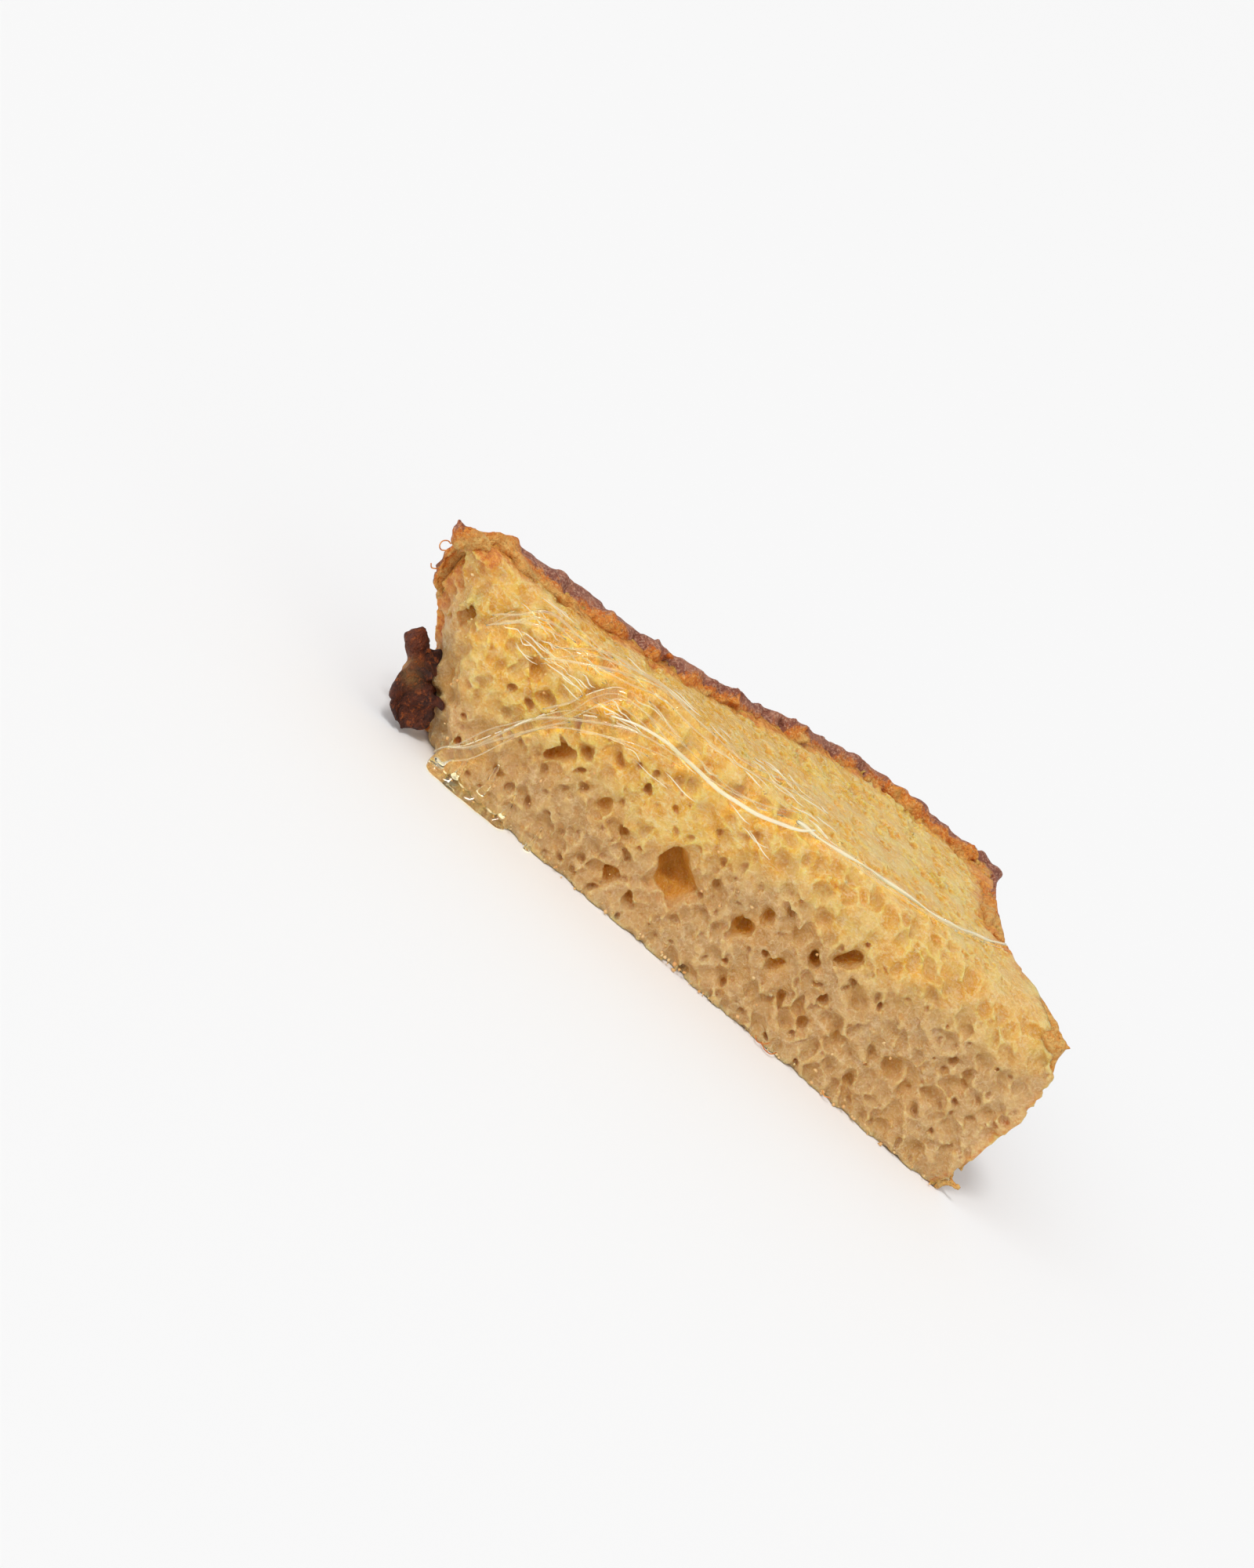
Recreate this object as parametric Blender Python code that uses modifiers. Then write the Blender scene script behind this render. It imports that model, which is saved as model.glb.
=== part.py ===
# Honey toast: a thick slab of toasted white bread cut on the diagonal, lying on one
# buttered face, with thick honey run over its upper edge and down the cut crumb.
# X runs along the cut face (thin torn tip at -X), -Y looks out of the cut face, +Z is up.
# The origin is under the middle of the toast, on the surface it lies on.
import math

import bmesh
import bpy
import numpy as np
from mathutils import Matrix, Vector, noise
from mathutils.bvhtree import BVHTree

MM = 0.001

# ---- driving dimensions ----
THICKNESS = 28.5 * MM        # slab, from the face it lies on to the upper face
TIP_X = -54.5 * MM           # thin end of the cut face, at the upper face
END_X = 54.5 * MM            # thick end of the cut face
CUT_Y = -20.0 * MM           # plane of the cut crumb face
SHOULDER = 4.5 * MM          # rounding where the soaked upper face meets the cut face

# plan outline of the crust between the tip and the thick end, by way of the back corner (mm)
CRUST_OUTLINE = [(-51.5, -15.0), (-46.0, -10.6), (-37.0, -8.2), (-26.0, -6.6), (-16.0, -3.2),
                 (-6.0, 2.4), (4.0, 9.4), (13.0, 15.2), (23.0, 17.6), (32.0, 18.0), (37.5, 20.4),
                 (40.0, 18.2), (40.3, 8.0), (42.0, -2.5), (46.0, -9.5), (51.0, -16.2)]
CRUST_BULGE = 1.3 * MM       # how far the crust stands out at mid height
RIM_HEIGHT = 0.9 * MM        # raised browned rim along the back of the upper face
RIM_WIDTH = 3.4 * MM
WRINKLE = 0.45 * MM          # depth of the crust's wrinkles
CRUMB_RELIEF = 0.25 * MM     # unevenness of the cut and upper faces

# torn end of the tip: it leans in towards the foot, from its front edge to its back edge
TORN_FRONT_FOOT_X = -34.0 * MM
TORN_FRONT_LEAN = 0.52
TORN_BACK_FOOT_X = -38.0 * MM
TORN_BACK_FOOT_Y = -8.0 * MM
TORN_BACK_LEAN_X = 0.66
TORN_BACK_LEAN_Y = 0.29
LIP_HEIGHT = 24.0 * MM       # above this the torn end runs out to the tip again

# loose flap of dark crust at the foot of the tip: lobe centres and radii (mm)
FLAP_LOBES = [(-46.4, -13.4, 8.2, 2.9), (-44.0, -15.2, 4.3, 3.7), (-43.4, -12.2, 8.2, 3.7)]
FLAP_THICKNESS = 1.5 * MM
FLAP_TURN = math.radians(23)
FLAP_LEAN = math.radians(14)

# toasted points that stand out of the edges: place, direction, length, base radius (mm)
SPIKES = [((-53.8, -19.0, 27.4), (-0.6, -0.1, 0.8), 3.2, 1.5),
          ((-53.0, -18.4, 23.8), (-1.0, -0.3, 0.15), 3.0, 1.1),
          ((-50.4, -17.6, 19.6), (-1.0, -0.3, 0.0), 2.6, 0.9),
          ((-22.6, -6.6, 28.4), (-0.2, 0.4, 0.85), 2.6, 1.3),
          ((39.0, 18.6, 27.0), (0.6, 0.6, 0.5), 3.4, 2.4),
          ((52.5, -18.6, 27.4), (0.8, 0.3, 0.5), 2.0, 2.0),
          ((52.6, -18.4, 1.7), (0.9, -0.2, -0.2), 2.0, 1.5)]

# large pores of the cut face: x and z of the mouth, width and height along slanted axes,
# depth (mm)
PORE_SLANT = math.radians(-43)
PORES = [(-1.2, 10.2, 5.1, 8.6, 4.6), (-24.4, 13.9, 4.4, 3.1, 3.0), (-21.2, 15.8, 1.8, 2.4, 2.2),
         (-20.6, 12.2, 1.9, 1.4, 1.8), (-15.4, 11.7, 2.6, 1.8, 2.0), (-20.4, 8.8, 1.8, 2.1, 2.0),
         (-10.8, 10.6, 1.5, 1.9, 1.8), (-8.8, 4.9, 2.5, 3.2, 2.4), (-4.0, 3.0, 1.7, 3.1, 2.0),
         (3.0, 3.3, 1.7, 3.1, 2.2), (5.8, 4.8, 2.1, 2.1, 2.2), (8.4, 2.6, 2.7, 1.4, 1.8),
         (9.2, 11.2, 3.4, 2.9, 2.8), (11.7, 14.0, 2.1, 2.0, 2.2), (-15.6, 18.6, 1.6, 2.1, 1.8),
         (20.2, 13.5, 2.9, 2.1, 2.4), (16.4, 10.6, 4.1, 2.8, 2.0), (22.6, 18.0, 3.8, 3.1, 2.8),
         (20.4, 6.3, 2.0, 3.0, 2.2), (22.4, 8.2, 1.6, 2.4, 1.8), (25.4, 5.6, 1.6, 2.4, 1.8),
         (28.4, 13.5, 2.0, 2.0, 1.8), (37.1, 7.2, 4.3, 4.9, 1.8), (43.5, 15.9, 2.5, 1.5, 2.0),
         (44.4, 10.2, 2.5, 2.8, 1.8), (-34.4, 20.1, 2.2, 3.3, 1.8), (-30.4, 17.9, 3.2, 3.0, 1.8)]
TIP_HOLLOW = (-42.6, -16.4, 9.6, 3.0, 4.6, 3.0)    # hollow in the torn end: centre and size (mm)

# thick honey: routes over the surface, with each run's half width (mm)
HONEY_RUNS = [
    (1.25, [(-26.5, -20, 17.5), (-25.0, -19.5, 23.5), (-20.5, -19, 25.6), (-16.0, -19.6, 24.2),
            (-11.0, -20, 23.2), (-5.0, -20, 23.2), (0.5, -19, 25.0), (6.5, -17, 28.0),
            (9.5, -16.2, 28.5)]),
    (1.1, [(9.0, -16.5, 28.5), (14.5, -15.6, 28.5), (20.0, -15.0, 28.5), (26.0, -14.6, 28.5),
           (32.5, -12.5, 28.5), (39.0, -8.0, 28.5)]),
    (1.3, [(-14.0, -20, 22.2), (-18.5, -20, 21.2), (-22.5, -20, 19.4), (-27.0, -20, 15.6),
           (-30.5, -20, 10.4), (-32.4, -20, 5.6), (-33.0, -20, 1.8)]),
    (1.0, [(-42.0, -20, 20.6), (-40.6, -19.4, 23.8), (-37.4, -18.6, 26.4), (-32.0, -18.4, 26.6),
           (-27.0, -19, 25.4)]),
]
DRIP_FEET = [(-33.0, 1.7, 3.0), (-28.6, 1.3, 6.5), (-24.4, 1.15, 5.0), (-18.0, 1.0, 3.8)]
# each drip: x, half width, height it starts from (mm)
HONEY_POOL = (-30.5, 7.2, 2.0, 1.5)    # low pool at the drips' feet: x, half length, reach, height

VOXEL = 0.9 * MM             # even mesh that the relief is put into
FACES = 9400                 # triangles in the finished solid
FOOT_SNAP = 0.4 * MM         # what is lower than this is pressed flat on the surface


def new_object(name, mesh, collection):
    obj = bpy.data.objects.new(name, mesh)
    collection.objects.link(obj)
    return obj


def mesh_object(name, bm, collection):
    """Turns a bmesh into a named object with outward faces."""
    bmesh.ops.recalc_face_normals(bm, faces=bm.faces)
    mesh = bpy.data.meshes.new(name)
    bm.to_mesh(mesh)
    bm.free()
    return new_object(name, mesh, collection)


def bake_modifiers(obj):
    """Replaces the object's mesh by its evaluated one and drops the modifiers."""
    depsgraph = bpy.context.evaluated_depsgraph_get()
    mesh = bpy.data.meshes.new_from_object(obj.evaluated_get(depsgraph))
    obj.modifiers.clear()
    obj.data = mesh


def bread_material():
    material = bpy.data.materials.new("toasted_bread")
    material.use_nodes = True
    shader = material.node_tree.nodes["Principled BSDF"]
    shader.inputs["Base Color"].default_value = (0.72, 0.45, 0.17, 1.0)
    shader.inputs["Roughness"].default_value = 0.6
    shader.inputs["Metallic"].default_value = 0.0
    return material


def smooth_step(low, high, value):
    t = np.clip((value - low) / (high - low), 0.0, 1.0)
    return t * t * (3.0 - 2.0 * t)


def smooth_route(points, per_span):
    """Points on a Catmull-Rom curve through the given ones."""
    ends = [points[0] * 2 - points[1]] + points + [points[-1] * 2 - points[-2]]
    route = []
    for a, b, c, d in zip(ends, ends[1:], ends[2:], ends[3:]):
        for step in range(per_span):
            t = step / per_span
            route.append(0.5 * (2 * b + (c - a) * t + (2 * a - 5 * b + 4 * c - d) * t * t
                                + (3 * b - a - 3 * c + d) * t ** 3))
    route.append(points[-1])
    return route


# ---- the bread ----
def crust_outline():
    """Crust outline in plan, rounded off between its points."""
    between = [Vector((x * MM, y * MM, 0.0)) for x, y in CRUST_OUTLINE]
    tip, end = Vector((TIP_X, CUT_Y, 0.0)), Vector((END_X, CUT_Y, 0.0))
    return smooth_route([tip] + between + [end], 3)


def slab(collection):
    """Diagonal half of a thick slice: the outline extruded, its front top edge rounded."""
    bm = bmesh.new()
    corners = [bm.verts.new(point) for point in crust_outline()]
    base = bm.faces.new(corners)
    grown = bmesh.ops.extrude_face_region(bm, geom=[base])
    raised = [item for item in grown["geom"] if isinstance(item, bmesh.types.BMVert)]
    bmesh.ops.translate(bm, verts=raised, vec=(0.0, 0.0, THICKNESS))
    shoulder = [edge for edge in bm.edges
                if all(abs(v.co.y - CUT_Y) < 1e-6 and v.co.z > THICKNESS / 2 for v in edge.verts)]
    bmesh.ops.bevel(bm, geom=shoulder, offset=SHOULDER, segments=4, profile=0.5,
                    affect="EDGES", material=-1)
    return mesh_object("toast", bm, collection)


def torn_end_section(height):
    """Four plan corners of what is torn away from the tip at a height."""
    level = min(height, LIP_HEIGHT)
    front = Vector((TORN_FRONT_FOOT_X - TORN_FRONT_LEAN * level, CUT_Y, height))
    back = Vector((TORN_BACK_FOOT_X - TORN_BACK_LEAN_X * level,
                   TORN_BACK_FOOT_Y - TORN_BACK_LEAN_Y * level, height))
    if height > LIP_HEIGHT:
        lip = (height - LIP_HEIGHT) / (THICKNESS - LIP_HEIGHT)
        front.x += lip * (TIP_X - 2 * MM - front.x)
        back.x += lip * (TIP_X - 4 * MM - back.x)
    across = (back - front).normalized()
    front -= across * 6 * MM
    back += across * 9 * MM
    far = TIP_X - 20 * MM
    return [front, back, Vector((far, back.y, height)), Vector((far, front.y, height))]


def torn_end_cutter(collection):
    heights = [-2 * MM, 6 * MM, 12 * MM, 18 * MM, LIP_HEIGHT, THICKNESS + 3 * MM]
    bm = bmesh.new()
    foot = bm.faces.new([bm.verts.new(corner) for corner in torn_end_section(heights[0])])
    face = foot
    for height in heights[1:]:
        grown = bmesh.ops.extrude_face_region(bm, geom=[face])["geom"]
        raised = [item for item in grown if isinstance(item, bmesh.types.BMFace)][0]
        if face is not foot:
            bmesh.ops.delete(bm, geom=[face], context="FACES_ONLY")
        face = raised
        for vert, corner in zip(face.verts, torn_end_section(height)):
            vert.co = corner
    return mesh_object("torn_end", bm, collection)


def crust_distance(points, outline):
    """Plan distance of each point from the crust outline."""
    nearest = np.full(len(points), 1.0)
    for a, b in zip(outline[:-1], outline[1:]):
        start, span = np.array(a[:2]), np.array((b - a)[:2])
        along = np.clip(((points[:, :2] - start) @ span) / (span @ span), 0.0, 1.0)
        offset = points[:, :2] - (start + along[:, None] * span)
        nearest = np.minimum(nearest, np.hypot(offset[:, 0], offset[:, 1]))
    return nearest


def fractal(point, size, seed):
    return noise.fractal(point / size + Vector((seed, seed * 0.7, -seed)), 1.0, 2.0, 3)


def roughen(obj):
    """Bulges and wrinkles the crust, raises its rim and makes the crumb uneven."""
    mesh = obj.data
    count = len(mesh.vertices)
    points, normals = np.empty(count * 3), np.empty(count * 3)
    mesh.vertices.foreach_get("co", points)
    mesh.vertices.foreach_get("normal", normals)
    points, normals = points.reshape(-1, 3), normals.reshape(-1, 3)
    distance = crust_distance(points, crust_outline())
    height = points[:, 2] / THICKNESS
    crust = 1.0 - smooth_step(0.6 * MM, 2.4 * MM, distance)
    side = crust * (1.0 - smooth_step(0.55, 0.85, np.abs(normals[:, 2])))
    lifted = smooth_step(0.05, 0.35, height)
    rim = (1.0 - smooth_step(0.3, 1.0, distance / RIM_WIDTH)) * smooth_step(0.8, 0.97, height)
    rim *= smooth_step(TIP_X + 1 * MM, TIP_X + 12 * MM, points[:, 0])
    rim *= 1.0 - 0.75 * smooth_step(39 * MM, 44 * MM, points[:, 0])
    wrinkles = np.array([fractal(Vector((p[0], p[1], p[2] * 0.6)), 3.6 * MM, 4.0)
                         for p in points])
    swell = np.array([fractal(Vector(p), 9.0 * MM, 11.0) for p in points])
    free = smooth_step(0.02, 0.12, height)
    out = side * (CRUST_BULGE * np.sin(np.pi * height) + 1.6 * WRINKLE * wrinkles * lifted)
    out += (1.0 - side) * CRUMB_RELIEF * (wrinkles + swell) * free
    points = points + normals * out[:, None]
    points[:, 2] += rim * RIM_HEIGHT * (1.0 + 0.8 * wrinkles)
    mesh.vertices.foreach_set("co", points.ravel())
    mesh.update()


def flatten_foot(obj):
    """Presses the face that the toast lies on flat."""
    for vert in obj.data.vertices:
        if vert.co.z < FOOT_SNAP:
            vert.co.z = 0.0
    obj.data.update()


def centre_in_plan(obj):
    """Puts the middle of the finished toast's box over the origin."""
    places = np.array([vert.co for vert in obj.data.vertices])
    middle = (places.min(axis=0) + places.max(axis=0)) / 2
    obj.data.transform(Matrix.Translation((-middle[0], -middle[1], 0.0)))


def even_mesh(toast):
    """One closed skin of even faces, which roughen() can move."""
    remesh = toast.modifiers.new("even_faces", "REMESH")
    remesh.mode = "VOXEL"
    remesh.voxel_size = VOXEL
    bake_modifiers(toast)


def thin_out(toast):
    """Fewer triangles, with those left where the form turns."""
    faces = sum(len(polygon.vertices) - 2 for polygon in toast.data.polygons)
    fewer = toast.modifiers.new("fewer_faces", "DECIMATE")
    fewer.ratio = min(1.0, FACES / faces)
    bake_modifiers(toast)


# ---- pieces fused on ----
def crust_flap(collection):
    """Dark loose flap: overlapping flat discs of crust standing at the foot of the tip."""
    pieces = []
    turn = Matrix.Rotation(FLAP_TURN, 4, "Z") @ Matrix.Rotation(math.pi / 2 - FLAP_LEAN, 4, "X")
    for index, (x, y, z, radius) in enumerate(FLAP_LOBES):
        bm = bmesh.new()
        bmesh.ops.create_uvsphere(bm, u_segments=14, v_segments=8, radius=radius * MM)
        bmesh.ops.scale(bm, verts=bm.verts, vec=(1.0, 1.0, FLAP_THICKNESS / (radius * MM)))
        for vert in bm.verts:
            vert.co.z += 0.35 * MM * fractal(vert.co, 2.5 * MM, 3.0 + index)
        place = Matrix.Translation(Vector((x, y, z)) * MM)
        bmesh.ops.transform(bm, matrix=place @ turn, verts=bm.verts)
        for vert in bm.verts:
            vert.co.z = max(vert.co.z, 0.5 * MM)
        pieces.append(mesh_object(f"flap_{index}", bm, collection))
    return pieces


def spikes(collection):
    pieces = []
    for index, (place, direction, length, radius) in enumerate(SPIKES):
        bm = bmesh.new()
        bmesh.ops.create_cone(bm, cap_ends=True, segments=7, radius1=radius * MM,
                              radius2=0.28 * radius * MM, depth=length * MM)
        bmesh.ops.translate(bm, verts=bm.verts, vec=(0.0, 0.0, 0.2 * length * MM))
        lean = Vector(direction).to_track_quat("Z", "Y").to_matrix().to_4x4()
        spot = Matrix.Translation(Vector(place) * MM)
        bmesh.ops.transform(bm, matrix=spot @ lean, verts=bm.verts)
        pieces.append(mesh_object(f"spike_{index}", bm, collection))
    return pieces


def tube(name, route, radii, collection):
    """Closed tube along a route, its radius changing from point to point."""
    curve = bpy.data.curves.new(name, "CURVE")
    curve.dimensions = "3D"
    curve.bevel_depth = 1.0
    curve.bevel_resolution = 1
    curve.use_fill_caps = True
    spline = curve.splines.new("POLY")
    spline.points.add(len(route) - 1)
    for point, place, radius in zip(spline.points, route, radii):
        point.co = (*place, 1.0)
        point.radius = radius
    line = new_object(name, curve, collection)
    depsgraph = bpy.context.evaluated_depsgraph_get()
    mesh = bpy.data.meshes.new_from_object(line.evaluated_get(depsgraph))
    bpy.data.objects.remove(line)
    bm = bmesh.new()
    bm.from_mesh(mesh)
    bmesh.ops.remove_doubles(bm, verts=bm.verts, dist=0.00002)
    return mesh_object(name, bm, collection)


def honey(toast, collection):
    """Thick honey runs that lie half sunk on the bread, drips at the cut face's foot, a pool."""
    surface = BVHTree.FromObject(toast, bpy.context.evaluated_depsgraph_get())
    pieces = []
    for index, (half_width, points) in enumerate(HONEY_RUNS):
        route = []
        for place in smooth_route([Vector(point) * MM for point in points], 3):
            spot, normal, _, _ = surface.find_nearest(place)
            route.append(spot + normal * 0.1 * MM)
        steps = len(route) - 1
        radii = [half_width * MM * (0.45 + 0.55 * math.sin(math.pi * (0.12 + 0.76 * i / steps)))
                 for i in range(steps + 1)]
        pieces.append(tube(f"honey_run_{index}", route, radii, collection))
    for index, (x, half_width, start) in enumerate(DRIP_FEET):
        top, foot = Vector((x * MM, CUT_Y, start * MM)), half_width * 0.9 * MM
        route = [top, Vector((x * MM, CUT_Y - 0.4 * MM, top.z * 0.6)),
                 Vector((x * MM, CUT_Y - 0.9 * MM, top.z * 0.3)),
                 Vector((x * MM, CUT_Y - 1.3 * MM, foot))]
        radii = [half_width * MM * size for size in (0.55, 0.8, 0.9, 0.75)]
        drip = tube(f"honey_drip_{index}", smooth_route(route, 2),
                    [r for r in radii[:-1] for _ in range(2)] + [radii[-1]], collection)
        for vert in drip.data.vertices:
            vert.co.z = max(vert.co.z, 0.05 * MM)
        pieces.append(drip)
    x, half_length, reach, height = HONEY_POOL
    bm = bmesh.new()
    bmesh.ops.create_uvsphere(bm, u_segments=20, v_segments=8, radius=1.0)
    bmesh.ops.scale(bm, verts=bm.verts, vec=(half_length * MM, (reach + 1.0) * MM, height * MM))
    bmesh.ops.translate(bm, verts=bm.verts, vec=(x * MM, CUT_Y + 1.0 * MM, 0.0))
    for vert in bm.verts:
        vert.co.z = max(vert.co.z, 0.0)
    bmesh.ops.remove_doubles(bm, verts=bm.verts, dist=0.00002)
    bmesh.ops.dissolve_limit(bm, angle_limit=0.01, verts=bm.verts, edges=bm.edges)
    pieces.append(mesh_object("honey_pool", bm, collection))
    return pieces


def pores(collection):
    """Egg-shaped cutters, each with its mouth on the cut face, and one in the torn end."""
    eggs = [(x, CUT_Y / MM + 0.12 * depth, z, width, 2 * depth, height)
            for x, z, width, height, depth in PORES]
    x, y, z, width, height, depth = TIP_HOLLOW
    eggs.append((x, y, z, width, 2 * depth, height))
    pieces = []
    for index, (x, y, z, width, depth, height) in enumerate(eggs):
        bm = bmesh.new()
        bmesh.ops.create_icosphere(bm, subdivisions=2, radius=0.5 * MM)
        bmesh.ops.scale(bm, verts=bm.verts, vec=(width, depth, height))
        turn = Matrix.Rotation(PORE_SLANT, 4, "Y")
        bmesh.ops.transform(bm, matrix=turn, verts=bm.verts)
        bmesh.ops.translate(bm, verts=bm.verts, vec=(x * MM, y * MM, z * MM))
        pieces.append(mesh_object(f"pore_{index}", bm, collection))
    return pieces


def combine(toast, operation, pieces, collection):
    """One Boolean with a whole collection, applied, the collection's objects then removed."""
    for piece in pieces:
        piece.hide_render = True
        piece.display_type = "WIRE"
    join = toast.modifiers.new(operation.lower(), "BOOLEAN")
    join.operation = operation
    join.solver = "EXACT"
    join.operand_type = "COLLECTION"
    join.collection = collection
    bake_modifiers(toast)
    for piece in pieces:
        bpy.data.objects.remove(piece)


def main():
    for obj in list(bpy.data.objects):
        bpy.data.objects.remove(obj)
    model = bpy.data.collections.new("honey_toast")
    cutters = bpy.data.collections.new("cutters")
    fused = bpy.data.collections.new("fused_pieces")
    for collection in (model, cutters, fused):
        bpy.context.scene.collection.children.link(collection)
    toast = slab(model)
    combine(toast, "DIFFERENCE", [torn_end_cutter(cutters)], cutters)
    combine(toast, "UNION", crust_flap(fused) + spikes(fused) + honey(toast, fused), fused)
    combine(toast, "DIFFERENCE", pores(cutters), cutters)
    even_mesh(toast)
    roughen(toast)
    flatten_foot(toast)
    thin_out(toast)
    flatten_foot(toast)
    centre_in_plan(toast)
    for collection in (cutters, fused):
        bpy.data.collections.remove(collection)
    toast.data.materials.clear()
    toast.data.materials.append(bread_material())
    toast.data.shade_smooth()
    toast.data.set_sharp_from_angle(angle=math.radians(40))


main()
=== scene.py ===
import math

import bmesh
import bpy
import numpy as np
import openvdb
from mathutils import Matrix, Vector


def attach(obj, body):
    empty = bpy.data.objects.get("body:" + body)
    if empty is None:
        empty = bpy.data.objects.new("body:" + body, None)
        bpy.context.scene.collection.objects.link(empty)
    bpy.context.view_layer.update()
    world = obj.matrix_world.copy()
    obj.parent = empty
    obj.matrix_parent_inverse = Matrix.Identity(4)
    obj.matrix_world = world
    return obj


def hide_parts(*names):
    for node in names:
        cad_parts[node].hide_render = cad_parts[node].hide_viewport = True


# Honey toast: a diagonal piece of thick toast on its lower face, with honey run over it.
# Lengths in the dictionaries are millimetres, in the frame's own axes.
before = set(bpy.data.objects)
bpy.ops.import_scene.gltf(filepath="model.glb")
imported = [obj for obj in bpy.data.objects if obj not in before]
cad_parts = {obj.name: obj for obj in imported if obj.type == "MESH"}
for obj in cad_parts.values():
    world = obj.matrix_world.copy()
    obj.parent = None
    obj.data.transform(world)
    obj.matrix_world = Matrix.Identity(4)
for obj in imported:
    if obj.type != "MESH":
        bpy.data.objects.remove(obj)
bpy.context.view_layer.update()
scene = bpy.context.scene
mm = 0.001


def smoothMax(a, b, blend):
    return np.maximum(a, b) + np.maximum(blend - np.abs(a - b), 0.0) ** 2 / (4.0 * blend)


def smoothMin(a, b, blend):
    return -smoothMax(-a, -b, blend)


def within(field, *limits):  # keeps a field inside others, each with its own soft corner
    for limit, blend in limits:
        field = smoothMax(field, limit, blend)
    return field


def fade(low, high, value):
    t = np.clip((value - low) / (high - low), 0.0, 1.0)
    return t * t * (3.0 - 2.0 * t)


def smoothRoute(points, perSpan):
    points = [np.array(p, dtype=float) for p in points]
    ends = [points[0] * 2 - points[1]] + points + [points[-1] * 2 - points[-2]]
    route = []
    for a, b, c, d in zip(ends, ends[1:], ends[2:], ends[3:]):
        for step in range(perSpan):
            t = step / perSpan
            route.append(0.5 * (2 * b + (c - a) * t + (2 * a - 5 * b + 4 * c - d) * t * t
                                + (3 * b - a - 3 * c + d) * t ** 3))
    route.append(points[-1])
    return np.array(route)


def turned(a, b, angle):  # a and b as read on axes turned by an angle
    c, s = math.cos(angle), math.sin(angle)
    return a * c + b * s, b * c - a * s


def alongSpan(place, a, b):  # share of the way from a to b, and the distance from that line
    x, y, z = place
    span = b - a
    t = ((x - a[0]) * span[0] + (y - a[1]) * span[1] + (z - a[2]) * span[2]) / (span @ span)
    t = np.clip(t, 0.0, 1.0)
    away = np.sqrt((x - a[0] - t * span[0]) ** 2 + (y - a[1] - t * span[1]) ** 2
                   + (z - a[2] - t * span[2]) ** 2)
    return t, away


class Volume:  # a box of evenly spaced samples
    def __init__(self, low, high, step):
        self.low, self.step = np.array(low, dtype=float), step
        self.shape = [int(math.ceil((b - a) / step)) + 1 for a, b in zip(low, high)]
        axes = [a + step * np.arange(n) for a, n in zip(self.low, self.shape)]
        self.x, self.y, self.z = np.ix_(*[axis.astype(np.float32) for axis in axes])

    def noise(self, cell, seed):  # smooth swell of about -1 to 1, the same each run
        random = np.random.default_rng(seed)
        cells = cell if isinstance(cell, tuple) else (cell,) * 3
        weights = []
        for count, size in zip(self.shape, cells):
            place = np.arange(count) * self.step / size
            base = np.floor(place).astype(int)
            t = place - base
            spline = [(1 - t) ** 3, 3 * t ** 3 - 6 * t * t + 4,
                      -3 * t ** 3 + 3 * t * t + 3 * t + 1, t ** 3]
            table = np.zeros((count, base[-1] + 4), dtype=np.float32)
            for offset, part in enumerate(spline):
                table[np.arange(count), base + offset] = part / 6
            weights.append(table)
        lattice = random.standard_normal([w.shape[1] for w in weights]).astype(np.float32)
        swell = np.tensordot(weights[0], lattice, (1, 0))
        swell = np.tensordot(weights[1], swell, (1, 1)).transpose(1, 0, 2)
        return 2.0 * np.tensordot(swell, weights[2], (2, 1))

    def sample(self, field, points):  # trilinear reading of a field at points
        place = (points - self.low) / self.step
        base = np.clip(np.floor(place).astype(int), 0, np.array(self.shape) - 2)
        t = np.clip(place - base, 0.0, 1.0)
        total = 0.0
        for corner in range(8):
            offset = np.array([corner & 1, corner >> 1 & 1, corner >> 2])
            share = np.prod(np.where(offset, t, 1.0 - t), axis=1)
            i, j, k = (base + offset).T
            total = total + share * field[i, j, k]
        return total

    def block(self, centre, reach):  # index ranges round a centre
        low = np.floor((np.array(centre) - reach - self.low) / self.step).astype(int)
        high = np.ceil((np.array(centre) + reach - self.low) / self.step).astype(int) + 1
        low, high = np.maximum(low, 0), np.minimum(high, self.shape)
        if np.any(low >= high):
            return None
        return tuple(slice(a, b) for a, b in zip(low, high))

    def local(self, where):
        return (self.x[where[0]], self.y[:, where[1]], self.z[:, :, where[2]])


def keepParts(bm, share):  # drops mesh islands much smaller than the largest
    left = set(bm.verts)
    parts = []
    while left:
        stack = [left.pop()]
        part = []
        while stack:
            vert = stack.pop()
            part.append(vert)
            for edge in vert.link_edges:
                other = edge.other_vert(vert)
                if other in left:
                    left.remove(other)
                    stack.append(other)
        parts.append(part)
    least = share * max(len(part) for part in parts)
    scraps = [vert for part in parts if len(part) < least for vert in part]
    bmesh.ops.delete(bm, geom=scraps, context="VERTS")


def asPiece(name, bm):  # a smooth-shaded object at the origin, from a bmesh
    mesh = bpy.data.meshes.new(name)
    bm.to_mesh(mesh)
    bm.free()
    mesh.shade_smooth()
    piece = bpy.data.objects.new(name, mesh)
    scene.collection.objects.link(piece)
    print(f"  {name}: {sum(len(face.vertices) - 2 for face in mesh.polygons)} triangles")
    return piece


def opened(mesh):  # a mesh as a bmesh, with the mesh itself cleared away
    bm = bmesh.new()
    bm.from_mesh(mesh)
    bpy.data.meshes.remove(mesh)
    return bm


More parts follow.
